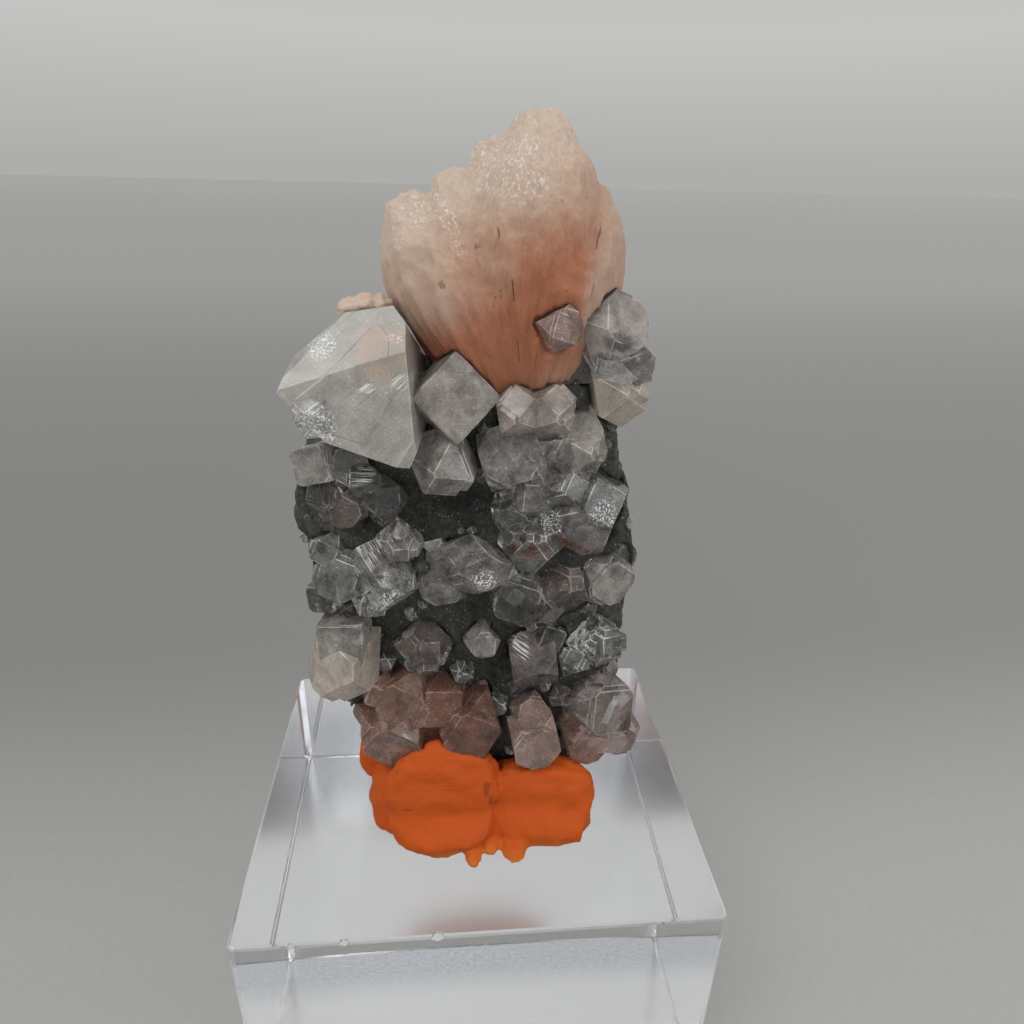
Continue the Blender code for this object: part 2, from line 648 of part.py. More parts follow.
def build():
    clear_scene()
    parts = new_collection("apophyllite_cluster")
    helpers = new_collection("helpers", helper=True)

    clear = new_material("acrylic_clear", (0.86, 0.88, 0.88), 0.05)
    orange = new_material("putty_orange", (0.60, 0.10, 0.015), 0.6)
    dark = new_material("basalt_dark", (0.055, 0.062, 0.055), 0.8)
    peach = new_material("stilbite_peach", (0.55, 0.30, 0.19), 0.55)
    cream = new_material("stilbite_cream", (0.58, 0.46, 0.36), 0.6)
    tones = {
        "apophyllite_milky": (0.42, 0.43, 0.40),
        "apophyllite_left_cubes": (0.22, 0.23, 0.22),
        "apophyllite_striated": (0.24, 0.24, 0.23),
        "apophyllite_lying": (0.30, 0.28, 0.27),
        "apophyllite_right": (0.26, 0.25, 0.25),
        "apophyllite_middle_right": (0.24, 0.22, 0.21),
        "apophyllite_upper_right": (0.30, 0.28, 0.27),
        "apophyllite_on_fan": (0.42, 0.34, 0.30),
        "apophyllite_left_lower": (0.40, 0.37, 0.33),
        "apophyllite_lower_clear": (0.22, 0.20, 0.20),
        "apophyllite_small_bright": (0.34, 0.32, 0.31),
        "apophyllite_brown_prism": (0.16, 0.13, 0.12),
        "apophyllite_right_lower": (0.24, 0.24, 0.24),
        "apophyllite_bottom_left": (0.22, 0.16, 0.14),
        "apophyllite_bottom_cube": (0.30, 0.25, 0.24),
        "apophyllite_bottom_right": (0.24, 0.21, 0.20),
    }
    finish = {name: new_material(name, tone, 0.18) for name, tone in tones.items()}

    block = build_block(parts, helpers)
    block.data.materials.clear()
    block.data.materials.append(clear)

    sockets = build_clusters(parts, helpers, finish)

    fan = build_fan("fan", FAN_LOBES, helpers)
    fan_socket = build_fan("fan_socket", FAN_LOBES, helpers, GAP)
    knob = build_knob("knob", helpers)
    knob_socket = build_knob("knob_socket", helpers, GAP)
    fuse(fan, sockets, "DIFFERENCE")
    fuse(knob, sockets + [fan_socket], "DIFFERENCE")

    rock = object_from(rock_solid(), "rock", helpers)
    fuse(rock, sockets + [fan_socket, knob_socket], "DIFFERENCE")

    rock_socket = object_from(rock_solid(GAP * 1.8), "rock_socket", helpers)
    putty = build_putty(helpers, sockets + [rock_socket])

    show_as_part(fan, "stilbite_fan", helpers, parts, peach)
    show_as_part(knob, "stilbite_knob", helpers, parts, cream)
    show_as_part(rock, "basalt_matrix", helpers, parts, dark)
    show_as_part(putty, "putty", helpers, parts, orange)


build()
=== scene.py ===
"""Looks of an apophyllite cluster with stilbite on basalt, set in putty on a clear block.

Shapes are drawn in millimetres and turned into metres by MM. X runs to the right, Y away from the
front and Z up, and the origin is the middle of the block's base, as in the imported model.
"""

import logging
import math
import random
from collections.abc import Callable, Iterable
from dataclasses import dataclass, field
from enum import Enum
from typing import Any

import bmesh
import bpy
from mathutils import Matrix, Vector, noise
from mathutils.bvhtree import BVHTree


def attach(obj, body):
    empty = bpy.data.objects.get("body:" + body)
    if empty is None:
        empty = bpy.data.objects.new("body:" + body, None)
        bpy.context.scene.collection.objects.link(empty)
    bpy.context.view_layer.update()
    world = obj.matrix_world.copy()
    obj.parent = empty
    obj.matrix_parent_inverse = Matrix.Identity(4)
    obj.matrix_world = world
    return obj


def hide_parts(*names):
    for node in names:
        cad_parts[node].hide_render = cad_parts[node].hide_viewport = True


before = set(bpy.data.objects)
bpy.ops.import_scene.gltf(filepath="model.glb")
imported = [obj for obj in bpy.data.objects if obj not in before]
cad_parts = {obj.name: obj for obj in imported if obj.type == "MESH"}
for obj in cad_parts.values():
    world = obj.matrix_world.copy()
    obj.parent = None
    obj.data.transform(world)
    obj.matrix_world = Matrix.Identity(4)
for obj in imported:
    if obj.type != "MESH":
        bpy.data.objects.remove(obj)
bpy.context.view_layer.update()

MM = 0.001
BODY = "root"
FIRST_SEED = 100
SLIVER = 0.001
Colour = tuple[float, float, float]
Spot = tuple[float, float, float, float]

log = logging.getLogger("specimen")


def smooth_step(low: float, high: float, value: float) -> float:
    """Eased share of the way from low to high.

    Args:
        low: Value that gives 0.
        high: Value that gives 1.
        value: The value to place between them.

    Returns:
        A number from 0 to 1.
    """
    share = min(1.0, max(0.0, (value - low) / (high - low)))
    return share * share * (3.0 - 2.0 * share)


class Signal:
    """A node socket that takes part in Python arithmetic by adding Math nodes."""

    def __init__(self, graph: "Graph", socket: bpy.types.NodeSocket) -> None:
        """Keeps the socket and the graph that it is in."""
        self.graph = graph
        self.socket = socket

    def __add__(self, other: Any) -> "Signal":
        """Sum."""
        return self.graph.maths("ADD", self, other)

    def __sub__(self, other: Any) -> "Signal":
        """Difference."""
        return self.graph.maths("SUBTRACT", self, other)

    def __rsub__(self, other: Any) -> "Signal":
        """Difference from a plain number."""
        return self.graph.maths("SUBTRACT", other, self)

    def __mul__(self, other: Any) -> "Signal":
        """Product."""
        return self.graph.maths("MULTIPLY", self, other)

    def __truediv__(self, other: Any) -> "Signal":
        """Quotient."""
        return self.graph.maths("DIVIDE", self, other)

    def __pow__(self, other: Any) -> "Signal":
        """Power."""
        return self.graph.maths("POWER", self, other)

    __radd__ = __add__
    __rmul__ = __mul__

    def clipped(self) -> "Signal":
        """The value held between 0 and 1."""
        return self.graph.node("ShaderNodeClamp", {}, {"Value": self})

    def size(self) -> "Signal":
        """The value without its sign."""
        return self.graph.maths("ABSOLUTE", self)

    def squared(self) -> "Signal":
        """The value times itself."""
        return self * self

    def eased(self, low: float, high: float) -> "Signal":
        """0 below low, 1 above high and a soft step between them.

        Args:
            low: Value that gives 0.
            high: Value that gives 1.

        Returns:
            The eased value.
        """
        inputs = {"Value": self, "From Min": low, "From Max": high}
        return self.graph.node("ShaderNodeMapRange", {"interpolation_type": "SMOOTHSTEP"}, inputs)


class Graph:
    """The node tree of one material."""

    def __init__(self, name: str) -> None:
        """Starts an empty tree.

        Args:
            name: The material's name.
        """
        self.material = bpy.data.materials.new(name)
        self.material.use_nodes = True
        self.tree = self.material.node_tree
        self.tree.nodes.clear()

    def node(self, kind: str, settings: dict[str, Any], inputs: dict[Any, Any], out: int = 0) -> Signal:
        """Adds a node.

        Args:
            kind: The node's type.
            settings: Its properties, set first. stops are a ramp's positions and colours.
            inputs: Values or signals for its sockets, by name or number.
            out: Which output to hand back.

        Returns:
            That output.
        """
        made = self.tree.nodes.new(kind)
        for key, value in settings.items():
            if key == "stops":
                self.fill_ramp(made.color_ramp, value)
            else:
                setattr(made, key, value)
        for key, value in inputs.items():
            if isinstance(value, Signal):
                self.tree.links.new(value.socket, made.inputs[key])
            else:
                made.inputs[key].default_value = value
        return Signal(self, made.outputs[out])

    @staticmethod
    def fill_ramp(ramp: bpy.types.ColorRamp, stops: Iterable[tuple[float, Colour]]) -> None:
        """Writes a ramp's stops.

        Args:
            ramp: The ramp.
            stops: Positions and colours, in order.
        """
        stops = list(stops)
        while len(ramp.elements) < len(stops):
            ramp.elements.new(0.5)
        for element, (position, colour) in zip(ramp.elements, stops):
            element.position = position
            element.color = (*colour, 1.0)

    def maths(self, operation: str, first: Any, second: Any = 0.0) -> Signal:
        """Adds a Math node on two values."""
        return self.node("ShaderNodeMath", {"operation": operation}, {0: first, 1: second})

    def vector(self, operation: str, first: Any, second: Any) -> Signal:
        """Adds a Vector Math node on two vectors."""
        return self.node("ShaderNodeVectorMath", {"operation": operation}, {0: first, 1: second})

    def mix(self, factor: Any, first: Any, second: Any, blend: str = "MIX") -> Signal:
        """Mixes two colours.

        Args:
            factor: Share of the second colour.
            first: A colour, as four numbers or a signal.
            second: The other colour.
            blend: How they mix.

        Returns:
            The mixed colour.
        """
        settings = {"data_type": "RGBA", "blend_type": blend}
        return self.node("ShaderNodeMix", settings, {0: factor, 6: first, 7: second}, 2)

    def place(self) -> Signal:
        """Object coordinates in millimetres."""
        point = self.node("ShaderNodeTexCoord", {}, {}, 3)
        return self.vector("MULTIPLY", point, (1000.0, 1000.0, 1000.0))

    def attribute(self, name: str, out: int = 1) -> Signal:
        """A stored attribute of the piece: output 0 is colour, 1 vector and 2 a number."""
        return self.node("ShaderNodeAttribute", {"attribute_name": name}, {}, out)

    def part(self, vector: Signal, axis: int) -> Signal:
        """One part of a vector, 0 to 2."""
        return self.node("ShaderNodeSeparateXYZ", {}, {0: vector}, axis)

    def noise(self, vector: Signal, scale: Any, detail: float = 3.0, warp: float = 0.0) -> Signal:
        """Noise of about 0 to 1 with its middle at 0.5.

        Args:
            vector: Where it is read.
            scale: One number, or three for a stretched pattern.
            detail: How many finer layers it has.
            warp: How far it is distorted.

        Returns:
            The noise value.
        """
        if isinstance(scale, tuple):
            vector = self.vector("MULTIPLY", vector, scale)
            scale = 1.0
        inputs = {"Vector": vector, "Scale": scale, "Detail": detail, "Distortion": warp}
        return self.node("ShaderNodeTexNoise", {}, inputs)

    def cells(self, vector: Signal, scale: float, out: int = 0) -> Signal:
        """Voronoi cells: output 0 is the distance to a cell's middle and 1 its random colour."""
        return self.node("ShaderNodeTexVoronoi", {}, {"Vector": vector, "Scale": scale}, out)

    def bump(self, height: Signal, strength: float, distance: float) -> Signal:
        """A bumped normal.

        Args:
            height: The relief.
            strength: How strong it is, 0 to 1.
            distance: How high a height of 1 stands, in millimetres.

        Returns:
            The normal.
        """
        inputs = {"Height": height, "Strength": strength, "Distance": distance * MM}
        return self.node("ShaderNodeBump", {}, inputs)

    def spot(self, across: Signal, along: Signal, row: Spot) -> Signal:
        """A soft oval spot of 1 on 0.

        Args:
            across: First coordinate.
            along: Second coordinate.
            row: The spot's middle and its half sizes, across and along each.

        Returns:
            The spot.
        """
        wide = ((across - row[0]) * (1.0 / row[2])).squared()
        high = ((along - row[1]) * (1.0 / row[3])).squared()
        return 1.0 - (wide + high).eased(0.35, 1.25)

    def spots(self, across: Signal, along: Signal, rows: Iterable[Spot]) -> Signal:
        """The sum of several soft spots.

        Args:
            across: First coordinate.
            along: Second coordinate.
            rows: The spots.

        Returns:
            Their sum, which passes 1 where they overlap.
        """
        total = self.maths("ADD", 0.0, 0.0)
        for row in rows:
            total = total + self.spot(across, along, row)
        return total

    def grey(self, value: Signal) -> Signal:
        """A grey of this level."""
        return self.node("ShaderNodeCombineXYZ", {}, {0: value, 1: value, 2: value})

    def ramp(self, value: Signal, stops: Iterable[tuple[float, Colour]]) -> Signal:
        """The colour that a ramp with these stops gives for a value."""
        return self.node("ShaderNodeValToRGB", {"stops": stops}, {"Fac": value})

    def surface(self, inputs: dict[str, Any]) -> Signal:
        """A Principled shader."""
        return self.node("ShaderNodeBsdfPrincipled", {}, inputs)

    def blend_shaders(self, factor: Signal, first: Signal, second: Signal) -> Signal:
        """Mixes two shaders by a factor."""
        return self.node("ShaderNodeMixShader", {}, {0: factor, 1: first, 2: second})

    def finish(self, shader: Signal) -> bpy.types.Material:
        """Ends the tree with this shader.

        Args:
            shader: What the surface shows.

        Returns:
            The finished material.
        """
        output = self.tree.nodes.new("ShaderNodeOutputMaterial")
        self.tree.links.new(shader.socket, output.inputs["Surface"])
        return self.material


def tint(colour: Colour) -> tuple[float, float, float, float]:
    """The colour with full alpha."""
    return (*colour, 1.0)


@dataclass(frozen=True)
class ApophylliteFinish:
    """Clear to milky crystal. The pieces carry their own tone and cloudiness, and how strongly their edges
    are painted pale as highlights.
    """

    refraction: float = 1.535
    stripe_width: float = 0.16
    veil_size: float = 2.4
    blush: Colour = (0.60, 0.36, 0.25)
    blush_place: tuple[float, float, float] = (-10.2, -8.2, 100.8)
    # Pale colours of the painted edge highlights, the painted glints and the white streaks
    cool: Colour = (0.78, 0.83, 0.93)
    warm: Colour = (0.95, 0.90, 0.83)
    # Middle and half size, x and z each, of places with white streaks, which are partly painted sparkle, and
    # of places with painted glints
    streaked: tuple[Spot, ...] = (
        (-8.0, 97.4, 1.3, 0.8),
        (-11.4, 96.8, 1.0, 0.5),
        (-12.6, 77.6, 1.6, 2.6),
        (-13.3, 85.8, 1.8, 1.0),
        (-10.6, 70.0, 0.9, 1.0),
        (5.4, 62.6, 1.3, 1.6),
    )
    # The places of the painted glints
    grainy: tuple[Spot, ...] = (
        (-16.9, 92.6, 2.2, 2.8),
        (-16.4, 100.6, 1.8, 1.4),
        (-8.7, 101.4, 0.8, 0.4),
        (-12.8, 69.2, 1.1, 0.6),
        (-10.2, 71.5, 2.0, 1.8),
        (-10.6, 60.5, 0.4, 0.8),
        (-4.1, 61.6, 1.2, 0.9),
        (0.3, 73.7, 2.0, 1.5),
        (8.1, 80.3, 1.5, 2.2),
        (14.0, 82.2, 1.8, 1.7),
    )

    smoke: Colour = (0.085, 0.062, 0.062)
    # Middle and half size, x and z each, of the dark patches inside the upper right crystals
    smoky: tuple[Spot, ...] = (
        (14.6, 101.0, 1.5, 1.2),
        (13.4, 98.9, 1.3, 0.9),
        (16.2, 98.6, 1.4, 0.8),
    )

    def material(self) -> bpy.types.Material:
        """Builds the material.

        Returns:
            The material for every crystal.
        """
        graph = Graph("apophyllite")
        here = graph.place()
        tone = graph.attribute("tone", 0)
        edge_glint_and_cloud = graph.attribute("edge_glint_and_cloud")
        edge = graph.part(edge_glint_and_cloud, 0)
        cloud = graph.part(edge_glint_and_cloud, 1)
        grain = graph.attribute("grain")
        across = 1.0 / self.stripe_width
        stripes = graph.noise(grain, (across, across * 0.03, 1.0), 2.0)
        ledges = graph.maths("FLOOR", graph.noise(grain, (1.3, 0.03, 1.0), 1.0) * 10.0) * 0.1
        swell = graph.noise(here, 0.45, 1.0)
        veils = graph.noise(here, 1.0 / self.veil_size, 3.0, 0.5)
        sheets = graph.noise(grain, (0.25, 3.4, 1.0), 2.0, 0.1)
        dust = graph.noise(here, 6.5, 3.0, 0.2)
        # White streaks, partly painted sparkle, and painted glints; they and the painted edge highlight make
        # the surface milkier and paler
        streaks_and_glints = self.streaks_and_painted_glints(graph, here, stripes, veils)
        # Painted highlight along the chamfered edges, stronger where the veils gather
        rim = edge * (0.35 + (veils - 0.42).eased(0.0, 0.16) * 1.5)
        mottle = graph.noise(here, 1.9, 4.0, 0.8)
        uneven = cloud * (1.0 - cloud) * (1.0 - cloud) * 7.0
        flaws = (veils - 0.5) * (0.2 + uneven) + (mottle - 0.5) * uneven * 0.8
        flaws = flaws + (sheets - 0.56).eased(0.0, 0.1) * 0.07 + (dust - 0.6).eased(0.0, 0.1) * 0.2
        milk = (cloud + flaws + rim * 0.6 + streaks_and_glints * 0.8).clipped()
        shade = 1.0 + (veils - 0.5) * 0.5 + (dust - 0.5) * 0.7 + (stripes - 0.5) * 0.55
        colour = graph.mix(1.0, tone, graph.grey(shade), "MULTIPLY")
        pale = graph.mix((mottle - 0.5).eased(-0.1, 0.1), tint(self.cool), tint(self.warm))
        colour = graph.mix((rim * 0.55 + streaks_and_glints).clipped(), colour, pale)
        far = graph.node("ShaderNodeVectorMath", {"operation": "DISTANCE"}, {0: here, 1: self.blush_place}, 1)
        patchy = 0.2 + (veils - 0.4).eased(0.0, 0.2) * 0.35 + (stripes - 0.4).eased(0.0, 0.2) * 0.25
        blush = (1.0 - far.eased(1.2, 4.6)) * patchy
        colour = graph.mix(blush, colour, tint(self.blush))
        x = graph.part(here, 0) + (veils - 0.5) * 3.0
        z = graph.part(here, 2) + (mottle - 0.5) * 2.0
        smoke = graph.spots(x, z, self.smoky)
        colour = graph.mix(smoke.clipped() * (1.0 - rim) * 0.85, colour, tint(self.smoke))
        relief = stripes * 0.25 + ledges * 1.8 + swell * 1.3
        normal = graph.bump(relief, 0.4, 0.05)
        rough = 0.015 + (veils - 0.5).eased(0.0, 0.3) * 0.06 + (dust - 0.58).eased(0.0, 0.1) * 0.12
        clear = graph.surface(
            {
                "Base Color": tint((0.96, 0.955, 0.95)),
                "Transmission Weight": 1.0,
                "IOR": self.refraction,
                "Roughness": rough,
                "Normal": normal,
            }
        )
        milky = graph.surface(
            {
                "Base Color": colour,
                "Roughness": 0.28,
                "IOR": self.refraction,
                "Normal": normal,
            }
        )
        return graph.finish(graph.blend_shaders(milk, clear, milky))

    def streaks_and_painted_glints(self, graph: Graph, here: Signal, stripes: Signal, veils: Signal) -> Signal:
        """White streaks, which are partly painted sparkle, painted glints at the listed places and painted
        glitter of tiny facets all over.

        Args:
            graph: The material's tree.
            here: The place in millimetres.
            stripes: Noise drawn out along the crystal.
            veils: Broad noise that gathers the painted glitter.

        Returns:
            1 on a mark and 0 elsewhere.
        """
        x = graph.part(here, 0)
        z = graph.part(here, 2)
        points = graph.noise(here, 4.5, 3.0)
        facets = graph.cells(here, 2.7)
        pick = graph.part(graph.cells(here, 2.7, 1), 0)
        ragged = x + (veils - 0.5) * 1.5
        streaks = graph.spots(ragged, z, self.streaked)
        painted_glints = graph.spots(ragged, z, self.grainy)
        # Painted glints of tiny facets, in cells where the veils gather
        painted_glitter = (1.0 - facets.eased(0.10, 0.24)) * pick.eased(0.8, 0.84) * (veils - 0.46).eased(0.0, 0.1)
        marks = streaks * (stripes - 0.5).eased(0.0, 0.1) + painted_glints * (points - 0.5).eased(0.0, 0.1)
        return (marks + painted_glitter * 0.7).clipped()


@dataclass(frozen=True)
class StilbiteFinish:
    """Silky sheaf of fibres, deep orange at the heart and cream at the crown."""

    deep: Colour = (0.49, 0.168, 0.078)
    peach: Colour = (0.56, 0.315, 0.205)
    cream: Colour = (0.71, 0.565, 0.455)
    shine: Colour = (0.92, 0.89, 0.84)
    margin: Colour = (0.60, 0.44, 0.34)
    crack: Colour = (0.10, 0.055, 0.035)
    # Side and reach of each crack's low and high end
    cracks: tuple[tuple[float, float, float], ...] = (
        (-3.7, 25.9, 26.9),
        (-2.85, 20.2, 22.6),
        (-2.7, 13.6, 16.2),
        (0.65, 13.0, 14.8),
        (6.1, 25.0, 27.0),
        (6.8, 21.0, 22.4),
    )
    # Middle and half size of the stains and of the sparkling bands, side and reach each
    stains: tuple[Spot, ...] = (
        (-10.5, 23.3, 0.38, 0.42),
        (-5.9, 25.1, 0.18, 0.28),
    )
    bands: tuple[Spot, ...] = (
        (-7.8, 27.6, 1.0, 3.2),
        (-1.7, 30.2, 3.0, 1.7),
        (-10.2, 29.4, 1.8, 1.4),
        (-4.0, 32.2, 1.5, 1.3),
        (-1.6, 33.6, 1.8, 2.2),
    )

    def material(self) -> bpy.types.Material:
        """Builds the material.

        Returns:
            The material for the sheaf and the knob.
        """
        graph = Graph("stilbite")
        here = graph.place()
        fibre = graph.attribute("fibre")
        side = graph.part(fibre, 0)
        reach = graph.part(fibre, 2)
        strands = graph.noise(fibre, (3.4, 3.4, 0.10), 4.0, 0.1)
        threads = graph.noise(fibre, (10.0, 10.0, 0.5), 3.0)
        patches = graph.noise(fibre, (0.22, 0.22, 0.12), 3.0, 0.5)
        front = 1.0 - graph.part(here, 1).eased(-1.0, 2.0)
        grain = graph.noise(here, 2.6, 5.0)
        body = self.tones(graph, side, reach, patches, strands)
        crown = (reach - side.eased(-4.0, 8.0) * 5.0).eased(25.0, 30.0)
        body = graph.mix((threads - 0.45).eased(0.0, 0.3) * 0.22, body, tint(self.cream))
        body = graph.mix((grain - 0.45).eased(0.0, 0.25) * crown * 0.5, body, tint(self.cream))
        body = graph.mix((0.5 - grain).eased(0.0, 0.2) * crown * 0.35, body, tint(self.peach))
        zone = crown * 0.25 + graph.spots(side + (patches - 0.5) * 3.0, reach, self.bands)
        points = graph.noise(fibre, (4.2, 4.2, 1.7), 4.0, 0.4)
        glint = (points - 0.5).eased(0.03, 0.14) * zone.clipped()
        body = graph.mix(glint * 0.7, body, tint(self.shine))
        stains = graph.spots(side + (grain - 0.5), reach, self.stains)
        marks = (self.lines(graph, side, reach, strands) + stains * 0.55) * front
        specks = graph.cells(fibre, 0.9)
        low_left = (1.0 - side.eased(-15.0, -9.0)) * (1.0 - reach.eased(17.0, 21.0))
        gathered = (patches - 0.5).eased(0.04, 0.12) * 0.6 + low_left
        dirt = front * (1.0 - crown) * (1.0 - specks.eased(0.10, 0.22)) * gathered
        body = graph.mix((marks + dirt * 0.7).clipped(), body, tint(self.crack))
        relief = strands * 1.0 + threads * 0.45 + grain * crown * 0.8 - marks * 0.6
        normal = graph.bump(relief, 0.5, 0.22)
        shader = graph.surface(
            {
                "Base Color": body,
                "Roughness": 0.5 - glint * 0.2,
                "Subsurface Weight": 0.3,
                "Subsurface Radius": (1.6, 0.7, 0.4),
                "Subsurface Scale": 0.001,
                "Sheen Weight": 0.08,
                "Normal": normal,
            }
        )
        return graph.finish(shader)

    def tones(self, graph: Graph, side: Signal, reach: Signal, patches: Signal, strands: Signal) -> Signal:
        """The body colour: deep low down and to the right, pale at the crown and on the left lobes.

        Args:
            graph: The material's tree.
            side: How far to the side of the root a point lies.
            reach: How far from the root it lies.
            patches: Broad noise.
            strands: Noise drawn out along the fibres.

        Returns:
            The colour.
        """
        height = reach - side.eased(-7.0, 7.0) * 5.5 + (patches - 0.5) * 9.0 + (strands - 0.5) * 5.0
        low = ((0.14, self.peach), (0.30, self.deep), (0.52, self.deep))
        body = graph.ramp(height / 36.0, (*low, (0.66, self.peach), (0.84, self.cream)))
        left = (0.0 - side).eased(6.0, 12.0) * reach.eased(17.0, 22.0)
        body = graph.mix(left * 0.6, body, tint(self.cream))
        margin = (side + (strands - 0.5) * 1.6).eased(4.6, 7.4) * reach.eased(14.0, 20.0)
        return graph.mix(margin * 0.75, body, tint(self.margin))

    def lines(self, graph: Graph, side: Signal, reach: Signal, strands: Signal) -> Signal:
        """The cracks, each a thin line along the fibres.

        Args:
            graph: The material's tree.
            side: How far to the side of the root a point lies.
            reach: How far from the root it lies.
            strands: Noise that makes the lines waver.

        Returns:
            1 on a crack and 0 elsewhere.
        """
        marks = graph.maths("ADD", 0.0, 0.0)
        for place, low, high in self.cracks:
            line = 1.0 - (side + (strands - 0.5) * 0.25 - place).size().eased(0.03, 0.12)
            within = reach.eased(low - 0.2, low + 0.3) * (1.0 - reach.eased(high - 0.3, high + 0.2))
            marks = marks + line * within
        return marks * 0.8


@dataclass(frozen=True)
class BasaltFinish:
    """Dark, grainy rock with tiny sparkles."""

    dark: Colour = (0.020, 0.020, 0.018)
    mid: Colour = (0.055, 0.058, 0.052)
    light: Colour = (0.15, 0.155, 0.14)

    def material(self) -> bpy.types.Material:
        """Builds the material.

        Returns:
            The rock's material.
        """
        graph = Graph("basalt")
        here = graph.place()
        broad = graph.noise(here, 0.16, 4.0, 0.6)
        grain = graph.noise(here, 2.2, 6.0)
        dust = graph.noise(here, 0.7, 5.0, 0.4)
        value = (broad * 0.5 + grain * 0.6 + dust * 0.3) - 0.2
        body = graph.ramp(value, ((0.28, self.dark), (0.5, self.mid), (0.78, self.light)))
        spots = graph.cells(here, 2.6)
        pick = graph.part(graph.cells(here, 2.6, 1), 0)
        sparkle = (1.0 - spots.eased(0.12, 0.3)) * pick.eased(0.8, 0.86)
        body = graph.mix(sparkle * 0.8, body, tint((0.55, 0.56, 0.54)))
        normal = graph.bump(grain + dust * 0.6 + spots * 0.3, 0.8, 0.22)
        shader = graph.surface({"Base Color": body, "Roughness": 0.78 - sparkle * 0.5, "Normal": normal})
        return graph.finish(shader)


@dataclass(frozen=True)
class PuttyFinish:
    """Orange putty with skin ridges, smudges and pale thin edges."""

    body: Colour = (0.67, 0.108, 0.010)
    thin: Colour = (0.80, 0.25, 0.03)
    smudge: Colour = (0.20, 0.05, 0.02)
    # Middle and half size of the smudges, x and z each
    smudges: tuple[Spot, ...] = (
        (0.9, 44.1, 0.45, 1.2),
        (1.5, 42.1, 0.4, 0.9),
        (2.2, 41.3, 0.3, 0.5),
        (-9.4, 42.1, 0.7, 0.2),
    )

    def material(self) -> bpy.types.Material:
        """Builds the material.

        Returns:
            The putty's material.
        """
        graph = Graph("putty")
        here = graph.place()
        broad = graph.noise(here, 0.25, 4.0, 0.5)
        fine = graph.noise(here, 3.0, 4.0)
        height = graph.part(here, 2)
        low = 1.0 - height.eased(35.4, 37.2)
        body = graph.mix((broad - 0.5).eased(0.0, 0.3) * 0.3, tint(self.body), tint((0.62, 0.10, 0.014)))
        body = graph.mix(low * 0.6, body, tint(self.thin))
        x = graph.part(here, 0)
        dirt = graph.spots(x + (fine - 0.5) * 1.2, height, self.smudges)
        body = graph.mix((dirt * 0.6).clipped(), body, tint(self.smudge))
        rings = graph.vector("SUBTRACT", here, (-4.0, -12.0, 40.0))
        ridges = graph.node(
            "ShaderNodeTexWave",
            {"wave_type": "RINGS", "rings_direction": "SPHERICAL", "wave_profile": "SIN"},
            {"Vector": rings, "Scale": 0.55, "Distortion": 2.2, "Detail": 1.0, "Detail Scale": 0.4},
            1,
        )
        relief = ridges * (0.1 + (broad - 0.45).eased(0.0, 0.2) * 0.6) + fine * 0.4 + broad * 2.0
        normal = graph.bump(relief, 0.4, 0.12)
        shader = graph.surface(
            {
                "Base Color": body,
                "Roughness": 0.6 + fine * 0.15,
                "Specular IOR Level": 0.3,
                "Subsurface Weight": 0.2,
                "Subsurface Radius": (1.2, 0.4, 0.1),
                "Subsurface Scale": 0.001,
                "Normal": normal,
            }
        )
        return graph.finish(shader)


@dataclass(frozen=True)
class AcrylicFinish:
    """Polished clear acrylic with light scratches and a pale ground underside, which gives off a faint
    painted glow and has painted shade towards the back.
    """

    refraction: float = 1.49
    ground: Colour = (0.93, 0.94, 0.96)
    shade: Colour = (0.55, 0.59, 0.66)

    def material(self) -> bpy.types.Material:
        """Builds the material.

        Returns:
            The block's material.
        """
        graph = Graph("acrylic")
        here = graph.place()
        smears = graph.noise(here, 0.12, 3.0, 0.8)
        long_marks = graph.noise(here, (0.35, 9.0, 0.35), 2.0, 0.2)
        cross_marks = graph.noise(here, (7.0, 0.4, 0.4), 2.0, 0.2)
        scratch = (1.0 - (long_marks - 0.5).size().eased(0.0, 0.01)) * 0.6
        scratch = scratch + (1.0 - (cross_marks - 0.5).size().eased(0.0, 0.008)) * 0.4
        scratch = scratch * (smears - 0.5).eased(0.02, 0.14)
        polished = graph.surface(
            {
                "Base Color": tint((0.985, 0.99, 0.99)),
                "Transmission Weight": 1.0,
                "IOR": self.refraction,
                "Roughness": (smears - 0.4).eased(0.0, 0.4) * 0.02 + scratch * 0.1,
                "Normal": graph.bump(0.0 - scratch, 0.2, 0.02),
            }
        )
        # Painted shade: the underside darkens towards the back
        back = graph.part(here, 1).eased(8.0, 19.0) * (0.6 + (graph.noise(here, 1.6, 4.0) - 0.5) * 1.6)
        body = graph.mix(back.clipped(), tint(self.ground), tint(self.shade))
        ground = graph.surface(
            {
                "Base Color": body,
                "Metallic": 0.85,
                "Roughness": 0.2,
                # Painted glow: the underside gives off a little light of its own
                "Emission Color": body,
                "Emission Strength": 0.09,
            }
        )
        underside = 1.0 - graph.part(here, 2).eased(0.02, 0.12)
        return graph.finish(graph.blend_shaders(underside, polished, ground))


@dataclass(frozen=True)
class Look:
    """How one crystal looks: its tone, how milky it is, how strongly its edges are painted pale as
    highlights, and its growth terraces.
    """

    tone: Colour
    cloud: float
    # How strongly the edges are painted pale as highlights
    edge: float = 0.5
    terraces: int = 2


